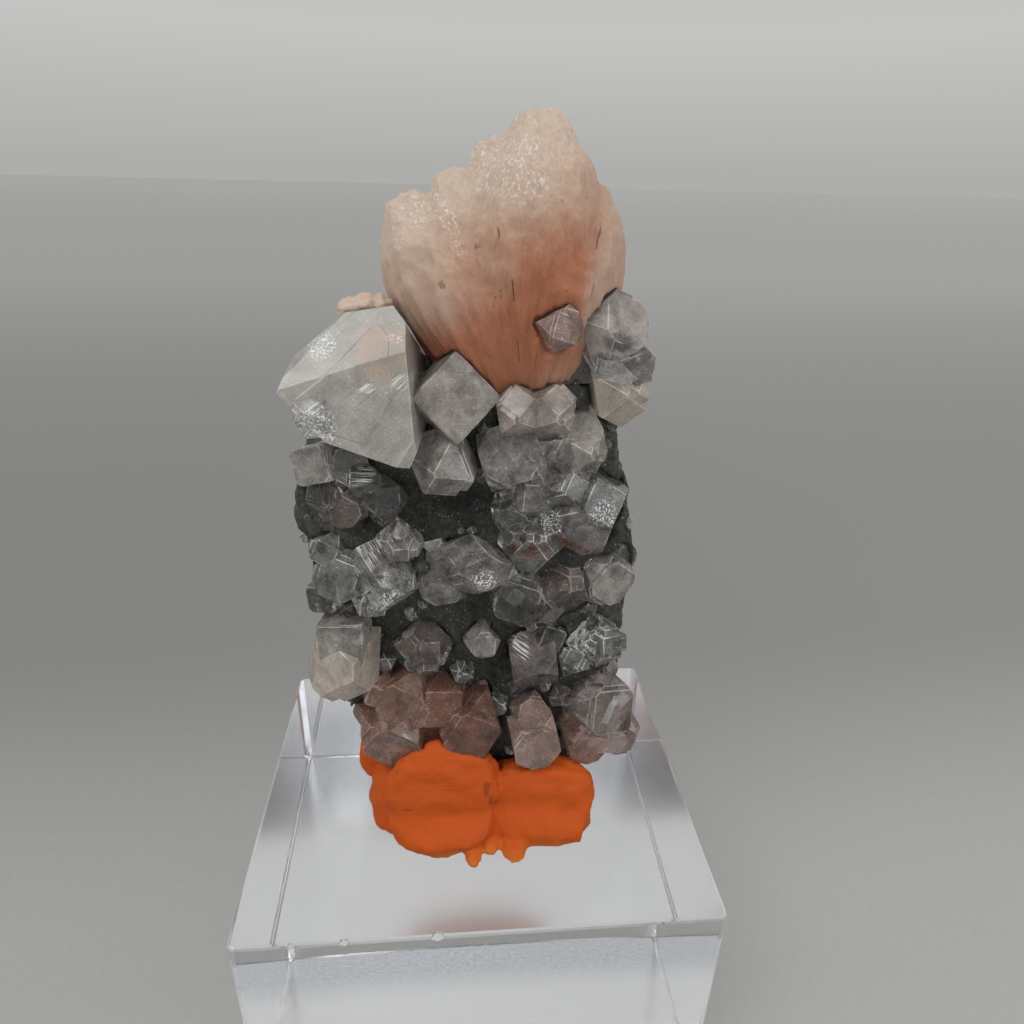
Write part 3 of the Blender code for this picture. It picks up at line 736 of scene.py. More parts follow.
class Looks(Enum):
    """The kinds of apophyllite on this specimen. The pink, brown and maroon tones are painted reflection of
    the orange putty; their haze is the crystals' own.
    """

    MILKY = Look((0.49, 0.47, 0.425), 0.78, 0.25, 1)
    LAVENDER = Look((0.53, 0.475, 0.43), 0.56, 0.35, 2)
    HAZY = Look((0.47, 0.44, 0.40), 0.46, 0.45, 2)
    BRIGHT = Look((0.66, 0.64, 0.62), 0.45, 0.5, 3)
    FROSTED = Look((0.35, 0.35, 0.32), 0.34, 0.45, 2)
    GREY = Look((0.38, 0.355, 0.33), 0.34, 0.35, 2)
    CLEAR = Look((0.48, 0.465, 0.44), 0.17, 0.5, 3)
    DARK = Look((0.22, 0.21, 0.19), 0.12, 0.4, 2)
    # Pinkish tone: painted reflection of the orange putty
    ORANGE_LIT_PINK = Look((0.43, 0.30, 0.255), 0.52, 0.3, 2)
    ROSE = Look((0.57, 0.485, 0.44), 0.55, 0.35, 2)
    CREAM = Look((0.56, 0.485, 0.41), 0.72, 0.25, 1)
    # Brown and maroon tones: painted reflection of the orange putty in the lower crystals
    ORANGE_LIT_BROWN = Look((0.37, 0.21, 0.155), 0.50, 0.2, 2)
    ORANGE_LIT_MAROON = Look((0.28, 0.13, 0.09), 0.50, 0.2, 2)
    SMOKY = Look((0.265, 0.21, 0.185), 0.34, 0.3, 2)


UP = Vector((0.0, 0.0, 1.0))
# Sideways and lengthwise parts of the direction in which a pyramid face looks
PYRAMID_SIDE = 0.615
PYRAMID_RISE = 0.494
# A crystal longer than this stands free at both ends, and a shorter one keeps this share of its root half
FREE_LENGTH = 9.9
ROOT_SHARE = 0.55


def outlook(yaw: float, rise: float) -> Vector:
    """The direction at this yaw and rise: yaw 0 faces the viewer and 90 the right."""
    yaw = math.radians(yaw)
    rise = math.radians(rise)
    return Vector((math.sin(yaw) * math.cos(rise), -math.cos(yaw) * math.cos(rise), math.sin(rise)))


def slice_off(bm: bmesh.types.BMesh, normal: Vector, distance: float) -> None:
    """Removes what lies beyond a plane and closes the cut.

    Args:
        bm: The solid.
        normal: The plane's normal.
        distance: How far the plane lies from the origin.
    """
    geometry = bm.verts[:] + bm.edges[:] + bm.faces[:]
    bmesh.ops.bisect_plane(bm, geom=geometry, plane_co=normal * distance, plane_no=normal, clear_outer=True)
    rim = [edge for edge in bm.edges if edge.is_boundary]
    if rim:
        bmesh.ops.holes_fill(bm, edges=rim)


def chamfer_edges(bm: bmesh.types.BMesh, width: float) -> None:
    """Takes off every edge and marks the new narrow faces by material index 1.

    Args:
        bm: The solid.
        width: How far from the edge the cut starts.
    """
    bmesh.ops.remove_doubles(bm, verts=bm.verts, dist=0.01)
    bmesh.ops.recalc_face_normals(bm, faces=bm.faces)
    made = bmesh.ops.bevel(
        bm,
        geom=bm.edges[:],
        offset=width,
        segments=1,
        profile=0.5,
        affect="EDGES",
        material=-1,
        clamp_overlap=True,
    )
    for face in made["faces"]:
        face.material_index = 1


def write_layers(bm: bmesh.types.BMesh, look: Look, start: float, axis: Vector) -> None:
    """Writes a crystal's tone, the strength of its painted edge highlight with its cloudiness, and its grain
    to its face corners.

    Args:
        bm: The solid.
        look: How it looks.
        start: Where its stripes start.
        axis: The direction of its long axis, along which the stripes run.
    """
    grain = bm.loops.layers.uv.new("grain")
    edge_glint_and_cloud = bm.loops.layers.uv.new("edge_glint_and_cloud")
    tone = bm.loops.layers.float_color.new("tone")
    bm.normal_update()
    for face in bm.faces:
        across = axis.cross(face.normal)
        across = across.normalized() if across.length > 0.05 else axis.orthogonal().normalized()
        along = face.normal.cross(across)
        for loop in face.loops:
            place = loop.vert.co
            loop[grain].uv = (place.dot(across) + start, place.dot(along) + start)
            # The chamfer faces carry the strength of the painted edge highlight; the cloudiness is the
            # crystal's own
            loop[edge_glint_and_cloud].uv = (look.edge if face.material_index else 0.0, look.cloud)
            loop[tone] = tint(look.tone)


@dataclass(frozen=True)
class Crystal:
    """One crystal: middle, width, length, direction and how far it is pointed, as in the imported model.

    yaw and rise say where the long axis points, and spin turns the crystal about it. point 0 leaves
    the corners whole and 1 brings the pyramid faces together in a point.
    """

    at: tuple[float, float, float]
    width: float
    length: float
    yaw: float
    rise: float
    spin: float
    point: float
    look: Looks

    def turn(self) -> Matrix:
        """The turn that takes the crystal's own Z to its long axis."""
        axis = outlook(self.yaw, self.rise)
        side = UP.cross(axis).normalized()
        up = axis.cross(side)
        own = Matrix((side, up, axis)).transposed().to_4x4()
        return own @ Matrix.Rotation(math.radians(self.spin), 4, "Z")

    def form(self, half: float, reach: float, shift: Vector, chamfer: float) -> bmesh.types.BMesh:
        """A square prism with its pyramid faces, in the crystal's own frame.

        Args:
            half: Half its width.
            reach: Half its length.
            shift: Where its middle lies.
            chamfer: Width of the narrow faces that take the place of its edges.

        Returns:
            The solid, with its edge faces marked by material index 1.
        """
        corner = PYRAMID_SIDE * (half + half) * (1.0 - self.point)
        distance = PYRAMID_RISE * reach + corner
        free = self.length > FREE_LENGTH
        bm = bmesh.new()
        bmesh.ops.create_cube(bm, size=2.0)
        bmesh.ops.scale(bm, vec=(half, half, reach), verts=bm.verts)
        if not free:
            root = [vert for vert in bm.verts if vert.co.z < 0.0]
            bmesh.ops.translate(bm, vec=(0.0, 0.0, reach * (1.0 - ROOT_SHARE)), verts=root)
        for across in (-1.0, 1.0):
            for along in (-1.0, 1.0):
                for end in (-1.0, 1.0) if free else (1.0,):
                    normal = Vector((across * PYRAMID_SIDE, along * PYRAMID_SIDE, end * PYRAMID_RISE))
                    slice_off(bm, normal.normalized(), distance)
        chamfer_edges(bm, chamfer)
        bmesh.ops.translate(bm, vec=shift, verts=bm.verts)
        return bm

    def solids(self, chance: random.Random, chamfer: float) -> list[bmesh.types.BMesh]:
        """The crystal and its growth terraces as separate overlapping solids.

        Args:
            chance: Seeded source of the small differences.
            chamfer: Width of the edge faces.

        Returns:
            The solids in place, in millimetres.
        """
        half = self.width / 2.0
        reach = self.length / 2.0
        made = [self.form(half, reach, Vector(), chamfer)]
        for _ in range(self.look.value.terraces):
            share = chance.uniform(0.5, 0.82)
            tall = chance.uniform(0.6, 0.9)
            proud = chance.uniform(0.008, 0.03) * self.width
            way_x = chance.choice((-1.0, 1.0))
            way_y = chance.choice((-1.0, 1.0))
            shift = Vector(
                (
                    way_x * (half * (1.0 - share) + proud * 0.6),
                    way_y * (half * (1.0 - share) + proud * 0.4),
                    reach * (1.0 - tall) * chance.uniform(0.2, 0.8),
                )
            )
            made.append(self.form(half * share, reach * tall, shift, chamfer * 0.8))
        for bm in made:
            write_layers(bm, self.look.value, chance.uniform(0.0, 40.0), UP)
            bmesh.ops.transform(bm, matrix=Matrix.Translation(self.at) @ self.turn(), verts=bm.verts)
        return made


@dataclass(frozen=True)
class UnevenCrystal:
    """One crystal whose faces grew unevenly: its middle, and each face as yaw, rise and distance from it."""

    at: tuple[float, float, float]
    faces: tuple[tuple[float, float, float], ...]
    axis: tuple[float, float, float]
    look: Looks
    broad: int = 2

    def form(self, share: float, proud: float, chamfer: float) -> bmesh.types.BMesh:
        """The solid between its faces, about its own middle.

        Args:
            share: How far out the side faces lie, 1 for their full distance.
            proud: How far the broad front faces, which come first, stand out.
            chamfer: Width of the edge faces.

        Returns:
            The solid.
        """
        bm = bmesh.new()
        bmesh.ops.create_cube(bm, size=40.0)
        for index, (yaw, rise, distance) in enumerate(self.faces):
            slice_off(bm, outlook(yaw, rise), distance + proud if index < self.broad else distance * share)
        chamfer_edges(bm, chamfer)
        return bm

    def solids(self, chance: random.Random, chamfer: float) -> list[bmesh.types.BMesh]:
        """The crystal and its growth terraces as separate overlapping solids.

        Args:
            chance: Seeded source of the small differences.
            chamfer: Width of the edge faces.

        Returns:
            The solids in place, in millimetres.
        """
        made = [self.form(1.0, 0.0, chamfer)]
        for _ in range(self.look.value.terraces):
            made.append(self.form(chance.uniform(0.72, 0.9), chance.uniform(0.06, 0.16), chamfer * 0.8))
        for bm in made:
            write_layers(bm, self.look.value, chance.uniform(0.0, 40.0), Vector(self.axis))
            bmesh.ops.translate(bm, vec=self.at, verts=bm.verts)
        return made


def to_object(bm: bmesh.types.BMesh, name: str) -> bpy.types.Object:
    """An object in metres from a bmesh in millimetres.

    Args:
        bm: The mesh, which is freed.
        name: The object's name.

    Returns:
        The object, linked to the scene at the origin.
    """
    bmesh.ops.scale(bm, vec=(MM, MM, MM), verts=bm.verts)
    mesh = bpy.data.meshes.new(name)
    bm.to_mesh(mesh)
    bm.free()
    obj = bpy.data.objects.new(name, mesh)
    bpy.context.scene.collection.objects.link(obj)
    return obj


def volume_of(mesh: bpy.types.Mesh) -> float:
    """The volume that a mesh encloses."""
    bm = bmesh.new()
    bm.from_mesh(mesh)
    volume = bm.calc_volume(signed=True)
    bm.free()
    return volume


def baked(obj: bpy.types.Object) -> bpy.types.Mesh:
    """The mesh with its modifiers applied.

    Args:
        obj: The object, whose modifiers are then cleared.

    Returns:
        A new mesh.
    """
    graph = bpy.context.evaluated_depsgraph_get()
    mesh = bpy.data.meshes.new_from_object(obj.evaluated_get(graph), depsgraph=graph)
    obj.modifiers.clear()
    return mesh


def drop_slivers(mesh: bpy.types.Mesh) -> None:
    """Removes the faces without area that narrow chamfers leave.

    Args:
        mesh: The mesh, in metres.
    """
    bm = bmesh.new()
    bm.from_mesh(mesh)
    bmesh.ops.dissolve_degenerate(bm, dist=SLIVER * MM, edges=bm.edges[:])
    bm.to_mesh(mesh)
    bm.free()


def fused(solids: list[bmesh.types.BMesh], name: str) -> bpy.types.Object:
    """One object from overlapping solids.

    Args:
        solids: Closed shapes in millimetres.
        name: The object's name.

    Returns:
        The object.
    """
    target = to_object(solids[0], name)
    for bm in solids[1:]:
        helper = to_object(bm, "helper")
        least = max(volume_of(target.data), volume_of(helper.data)) * 0.999
        most = (volume_of(target.data) + volume_of(helper.data)) * 1.001
        for solver in ("EXACT", "MANIFOLD"):
            step = target.modifiers.new("join", "BOOLEAN")
            step.operation = "UNION"
            step.solver = solver
            step.object = helper
            mesh = baked(target)
            if least <= volume_of(mesh) <= most:
                target.data = mesh
                break
            log.info("%s: %s gave no sound join", name, solver)
        bpy.data.objects.remove(helper, do_unlink=True)
    target.data.name = name
    return target


def settle(obj: bpy.types.Object, nodes: Iterable[str], material: bpy.types.Material) -> None:
    """Dresses a finished piece and tells the frame what it stands for.

    Args:
        obj: The piece.
        nodes: CAD nodes that it stands for.
        material: Its finish.
    """
    obj.data.materials.clear()
    obj.data.materials.append(material)
    for face in obj.data.polygons:
        face.material_index = 0
    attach(obj, BODY)
    if nodes:
        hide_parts(*nodes)
    log.info("%s: %d faces", obj.name, len(obj.data.polygons))


def remeshed(node: str, name: str, voxel: float, relax: int = 2) -> bpy.types.Object:
    """A fine, even copy of a CAD node.

    Args:
        node: The node's name.
        name: The new object's name.
        voxel: Size of its faces in millimetres.
        relax: How often its points are smoothed.

    Returns:
        The copy, at the origin.
    """
    bm = bmesh.new()
    bm.from_mesh(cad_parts[node].data)
    bmesh.ops.remove_doubles(bm, verts=bm.verts, dist=0.002 * MM)
    bmesh.ops.scale(bm, vec=(1.0 / MM,) * 3, verts=bm.verts)
    obj = to_object(bm, name)
    step = obj.modifiers.new("even", "REMESH")
    step.mode = "VOXEL"
    step.voxel_size = voxel * MM
    obj.data = baked(obj)
    bm = bmesh.new()
    bm.from_mesh(obj.data)
    axes = {"use_axis_x": True, "use_axis_y": True, "use_axis_z": True}
    for _ in range(relax):
        bmesh.ops.smooth_vert(bm, verts=bm.verts, factor=0.5, **axes)
    bm.to_mesh(obj.data)
    bm.free()
    return obj


def reshape(obj: bpy.types.Object, move: Callable[[Vector, Vector], Vector]) -> None:
    """Moves every point of a piece.

    Args:
        obj: The piece.
        move: Takes a point and its normal in millimetres and gives the new point.
    """
    mesh = obj.data
    normals = [vert.normal.copy() for vert in mesh.vertices]
    for vert, normal in zip(mesh.vertices, normals):
        vert.co = move(vert.co / MM, normal) * MM
    mesh.update()
    for face in mesh.polygons:
        face.use_smooth = True


@dataclass
class CrystalGroup:
    """A group of crystals grown together, which stands for one CAD node."""

    name: str
    crystals: tuple[Crystal | UnevenCrystal, ...]
    chamfer: float = 0.075

    def build(self, material: bpy.types.Material, seed: int) -> bpy.types.Object:
        """Builds the group in one solid.

        Args:
            material: The crystal finish.
            seed: Starts the group's small differences.

        Returns:
            The finished piece.
        """
        chance = random.Random(seed)
        solids = [bm for crystal in self.crystals for bm in crystal.solids(chance, self.chamfer)]
        piece = fused(solids, f"{self.name}_crystals")
        drop_slivers(piece.data)
        settle(piece, (self.name,), material)
        return piece


MILKY_FACES = (
    # yaw, rise, distance: the two broad front faces, then the sides clockwise from the top, and the back
    (-12.0, 40.0, 5.6),
    (-2.0, 14.0, 5.2),
    (-163.0, 67.0, 7.6),
    (101.0, 32.0, 8.5),
    (83.0, 6.0, 6.8),
    (28.0, -6.0, 9.0),
    (85.0, -24.0, 8.6),
    (-91.0, -71.0, 4.4),
    (-102.0, -45.0, 3.6),
    (-99.0, 17.0, 6.4),
    (-118.0, 43.0, 5.9),
    (-56.0, 51.0, 6.7),
    (175.0, -25.0, 6.4),
)

GROUPS = (
    CrystalGroup(
        "apophyllite_milky",
        (
            UnevenCrystal((-13.4, -4.0, 95.2), MILKY_FACES, (0.76, 0.21, 0.61), Looks.MILKY),
            Crystal((-3.3, -3.0, 94.1), 7.0, 8.0, 14, 14, 42, 0.05, Looks.LAVENDER),
            Crystal((-4.2, -4.8, 87.6), 5.8, 7.6, 8, -38, 30, 0.55, Looks.HAZY),
            Crystal((-16.9, -8.4, 93.5), 3.3, 4.8, -30, 60, 20, 0.50, Looks.BRIGHT),
        ),
    ),
    CrystalGroup(
        "apophyllite_left_cubes",
        (
            Crystal((-17.9, -5.2, 87.3), 4.0, 4.4, -14, 10, 14, 0.15, Looks.HAZY),
            Crystal((-15.4, -3.2, 86.5), 4.2, 4.8, 30, 12, 8, 0.25, Looks.FROSTED),
            Crystal((-13.4, -4.0, 84.5), 3.6, 4.4, 16, 30, 35, 0.40, Looks.DARK),
            Crystal((-17.2, -4.2, 83.2), 3.8, 4.4, -20, 24, 40, 0.45, Looks.DARK),
            Crystal((-15.4, -3.4, 81.9), 4.4, 5.2, -6, -8, 10, 0.35, Looks.SMOKY),
            Crystal((-10.9, -4.0, 82.3), 4.2, 5.4, 14, 22, 42, 0.55, Looks.DARK),
        ),
    ),
    CrystalGroup(
        "apophyllite_striated",
        (
            Crystal((-17.6, -2.6, 75.4), 3.8, 5.4, -12, 8, 20, 0.50, Looks.FROSTED),
            Crystal((-12.0, -4.8, 73.8), 5.2, 9.6, 46, -42, 4, 0.35, Looks.CLEAR),
            Crystal((-16.0, -3.4, 71.8), 5.6, 6.4, -16, 20, 30, 0.40, Looks.FROSTED),
            Crystal((-18.6, -2.2, 68.8), 3.4, 4.6, -20, 4, 8, 0.15, Looks.DARK),
            Crystal((-13.0, -4.0, 69.8), 4.2, 5.2, 6, -22, 38, 0.50, Looks.CLEAR),
            Crystal((-9.4, -4.6, 76.8), 4.2, 5.2, 8, -8, 45, 0.70, Looks.GREY),
        ),
    ),
    CrystalGroup(
        "apophyllite_lying",
        (
            Crystal((-1.3, -5.8, 74.5), 5.6, 10.2, 72, -2, 32, 0.80, Looks.GREY),
            Crystal((-4.4, -3.8, 71.4), 4.8, 5.8, -10, 10, 14, 0.35, Looks.GREY),
        ),
    ),
    CrystalGroup(
        "apophyllite_right",
        (
            Crystal((4.6, -4.2, 92.4), 4.6, 7.6, -12, 40, 12, 0.60, Looks.ROSE),
            Crystal((7.7, -4.2, 92.4), 4.6, 7.6, 14, 42, -12, 0.60, Looks.ROSE),
            Crystal((11.2, -3.4, 89.6), 4.8, 8.0, 28, -44, 20, 0.60, Looks.LAVENDER),
            Crystal((4.0, -3.0, 87.2), 6.8, 7.6, -10, 22, 20, 0.30, Looks.GREY),
            Crystal((9.0, -3.0, 86.0), 7.6, 8.4, 20, 10, 12, 0.45, Looks.GREY),
            Crystal((6.3, -4.4, 83.2), 4.8, 6.4, 4, 8, 40, 0.55, Looks.GREY),
            Crystal((4.4, -3.8, 80.8), 4.0, 5.6, -14, -14, 24, 0.40, Looks.DARK),
            Crystal((12.2, -3.2, 80.9), 12.0, 11.6, 22, 24, 8, 0.75, Looks.CLEAR),
            Crystal((6.2, -4.8, 76.8), 6.2, 7.6, -8, 34, 44, 0.90, Looks.CLEAR),
        ),
    ),
    CrystalGroup(
        "apophyllite_middle_right",
        (
            Crystal((16.0, -2.6, 70.8), 6.0, 5.6, 18, 0, 6, 0.40, Looks.HAZY),
            Crystal((17.4, -1.2, 73.0), 3.6, 5.0, 30, 10, 20, 0.40, Looks.GREY),
            Crystal((11.2, -3.8, 70.2), 6.2, 6.8, 14, 30, 44, 0.80, Looks.SMOKY),
            Crystal((5.2, -4.0, 68.8), 6.2, 6.6, -10, 12, 30, 0.45, Looks.DARK),
            Crystal((8.4, -3.2, 67.6), 4.0, 5.0, 10, -10, 12, 0.40, Looks.SMOKY),
        ),
    ),
    CrystalGroup(
        "apophyllite_upper_right",
        (
            Crystal((14.0, -2.6, 101.4), 6.4, 6.8, 34, 28, 22, 0.40, Looks.LAVENDER),
            Crystal((15.8, -2.2, 97.8), 6.2, 8.0, 72, -6, 30, 0.70, Looks.GREY),
            Crystal((15.6, -2.2, 94.6), 5.8, 6.8, 14, -34, 10, 0.55, Looks.CREAM),
            Crystal((10.6, -0.6, 97.6), 4.8, 5.0, 0, 10, 6, 0.20, Looks.SMOKY),
        ),
    ),
    CrystalGroup(
        "apophyllite_on_fan",
        (
            Crystal((8.3, -6.6, 102.4), 3.6, 4.6, 10, 12, 28, 0.50, Looks.ORANGE_LIT_PINK),
        ),
    ),
    CrystalGroup(
        "apophyllite_left_lower",
        (
            Crystal((-16.5, -3.4, 63.3), 5.6, 6.8, -8, 6, 4, 0.10, Looks.HAZY),
            Crystal((-16.9, -4.0, 59.8), 8.0, 9.0, 10, -26, -12, 0.66, Looks.CREAM),
        ),
    ),
    CrystalGroup(
        "apophyllite_lower_clear",
        (
            Crystal((-6.6, -5.0, 62.4), 5.6, 7.2, 10, 20, 40, 0.70, Looks.SMOKY),
        ),
    ),
    CrystalGroup(
        "apophyllite_small_bright",
        (
            Crystal((0.5, -4.6, 62.7), 3.4, 4.8, 6, 12, 40, 0.45, Looks.HAZY),
        ),
    ),
    CrystalGroup(
        "apophyllite_brown_prism",
        (
            Crystal((9.0, -3.4, 62.6), 4.0, 5.0, 10, 14, 20, 0.50, Looks.DARK),
            Crystal((7.2, -4.0, 58.8), 5.8, 8.4, -8, 50, 12, 0.30, Looks.SMOKY),
        ),
    ),
    CrystalGroup(
        "apophyllite_right_lower",
        (
            Crystal((15.4, -5.0, 62.2), 5.2, 7.2, 22, 20, 40, 0.65, Looks.CLEAR),
            Crystal((12.4, -4.8, 59.2), 3.4, 6.0, -8, 40, 20, 0.60, Looks.CLEAR),
        ),
    ),
    CrystalGroup(
        "apophyllite_bottom_left",
        (
            Crystal((-9.2, -4.6, 54.4), 6.6, 8.2, -12, 12, 24, 0.45, Looks.ORANGE_LIT_BROWN),
            Crystal((-10.6, -5.4, 50.2), 7.4, 8.4, -8, -10, 10, 0.40, Looks.ORANGE_LIT_BROWN),
            Crystal((-13.9, -3.0, 51.0), 3.4, 4.6, -50, 0, 20, 0.40, Looks.ORANGE_LIT_BROWN),
            Crystal((-5.0, -5.0, 53.6), 6.4, 7.4, 8, 20, 38, 0.50, Looks.ORANGE_LIT_MAROON),
            Crystal((-1.2, -5.4, 51.0), 7.4, 9.2, 4, 4, 16, 0.45, Looks.ORANGE_LIT_MAROON),
        ),
    ),
    CrystalGroup(
        "apophyllite_bottom_cube",
        (
            Crystal((7.3, -7.6, 49.1), 5.9, 5.8, 4, 6, 10, 0.32, Looks.ORANGE_LIT_PINK),
            Crystal((6.9, -5.0, 51.4), 4.2, 4.4, 10, 22, 28, 0.35, Looks.ORANGE_LIT_PINK),
        ),
    ),
    CrystalGroup(
        "apophyllite_bottom_right",
        (
            Crystal((16.2, -4.0, 51.8), 7.4, 9.0, 20, 16, 34, 0.45, Looks.SMOKY),
            Crystal((18.6, -3.4, 46.6), 6.0, 8.0, 60, -10, 30, 0.70, Looks.ORANGE_LIT_PINK),
            Crystal((14.4, -4.6, 47.0), 5.4, 7.0, 10, -8, 14, 0.35, Looks.ORANGE_LIT_BROWN),
        ),
    ),
)


@dataclass
class Basalt:
    """The dark rock that everything grew on."""

    voxel: float = 0.42
    coarse: float = 0.55
    middle: float = 0.32
    fine: float = 0.16
    right_side: float = 19.0

    def moved(self, point: Vector, normal: Vector) -> Vector:
        """Roughens one point of the rock."""
        height = noise.noise(point * 0.35) * self.coarse
        height += noise.noise(point * 0.95 + Vector((5.1, 2.2, 8.3))) * self.middle
        height += noise.noise(point * 2.3 + Vector((1.7, 9.2, 3.3))) * self.fine
        moved = point + normal * height
        moved.x = min(moved.x, self.right_side + (moved.x - self.right_side) * 0.35)
        return moved

    def build(self, material: bpy.types.Material) -> bpy.types.Object:
        """Builds the rock.

        Args:
            material: The rock's finish.

        Returns:
            The finished piece.
        """
        piece = remeshed("basalt_matrix", "basalt_rock", self.voxel, 0)
        reshape(piece, self.moved)
        settle(piece, ("basalt_matrix",), material)
        return piece


@dataclass
class StilbiteSheaf:
    """The fan of fibres at the top, and the small knob beside it."""

    root: Vector = field(default_factory=lambda: Vector((5.6, 0.6, 86.5)))
    voxel: float = 0.26
    spread: float = 24.0
    top: float = 122.95

    def fibre_place(self, point: Vector) -> Vector:
        """Where a point lies on the sheaf: across, away and along its fibres, in millimetres."""
        away = point - self.root
        return Vector(
            (
                math.atan2(away.x, away.z) * self.spread,
                math.atan2(away.y, away.z) * self.spread,
                away.length,
            )
        )

    def moved(self, point: Vector, normal: Vector) -> Vector:
        """Draws the ridges of the fibres and the stepped ends of the crown."""
        place = self.fibre_place(point)
        way = (point - self.root).normalized()
        crown = smooth_step(0.35, 0.85, normal.dot(way))
        ridge = noise.noise(Vector((place.x * 0.55, place.y * 0.55, place.z * 0.04))) * 0.30
        ridge += noise.noise(Vector((place.x * 1.35, place.y * 1.35, place.z * 0.05 + 7.0))) * 0.20
        ridge += noise.noise(Vector((place.x * 2.6, place.y * 2.6, place.z * 0.12 + 3.0))) * 0.10
        step = noise.noise(Vector((place.x * 0.9, place.y * 0.9, 4.0))) * 0.35
        step += noise.noise(Vector((place.x * 2.4, place.y * 2.4, 9.0))) * 0.35
        moved = point + normal * ridge * (1.0 - 0.6 * crown) + way * step * crown * 0.8
        moved.z = min(moved.z, self.top)
        return moved

    def write_fibres(self, mesh: bpy.types.Mesh) -> None:
        """Stores where each point lies along the fibres."""
        layer = mesh.attributes.new("fibre", "FLOAT_VECTOR", "POINT")
        for vert, item in zip(mesh.vertices, layer.data):
            item.vector = self.fibre_place(vert.co / MM)

    def build(self, material: bpy.types.Material) -> None:
        """Builds the fan and the knob.

        Args:
            material: The stilbite finish.
        """
        fan = remeshed("stilbite_fan", "stilbite_sheaf", self.voxel, 6)
        reshape(fan, self.moved)
        self.write_fibres(fan.data)
        settle(fan, ("stilbite_fan",), material)
        knob = remeshed("stilbite_knob", "stilbite_bud", 0.2, 2)
        reshape(knob, lambda point, normal: point + normal * 0.2 * noise.noise(point * 1.8))
        layer = knob.data.attributes.new("fibre", "FLOAT_VECTOR", "POINT")
        for vert, item in zip(knob.data.vertices, layer.data):
            item.vector = vert.co / MM * 0.5 + Vector((-6.0, 0.0, -20.0))
        settle(knob, ("stilbite_knob",), material)


@dataclass
class PuttyFoot:
    """The putty pressed round the foot of the rock."""

    voxel: float = 0.3
    front: float = -9.0
    bottom: float = 35.05

    def moved(self, point: Vector, normal: Vector) -> Vector:
        """Dents one point of the putty, pressed flatter at the front and level below."""
        height = noise.noise(point * 0.45) * 0.45 + noise.noise(point * 1.3 + Vector((3.0, 3.0, 3.0))) * 0.14
        moved = point + normal * height
        if moved.y < self.front:
            flat = 1.0 - 0.4 * smooth_step(37.0, 41.0, moved.z)
            moved.y = self.front + (moved.y - self.front) * flat
        moved.z = max(moved.z, self.bottom)
        return moved

    def build(self, material: bpy.types.Material) -> bpy.types.Object:
        """Builds the putty.

        Args:
            material: The putty's finish.

        Returns:
            The finished piece.
        """
        piece = remeshed("putty", "putty_lump", self.voxel, 4)
        reshape(piece, self.moved)
        settle(piece, ("putty",), material)
        return piece


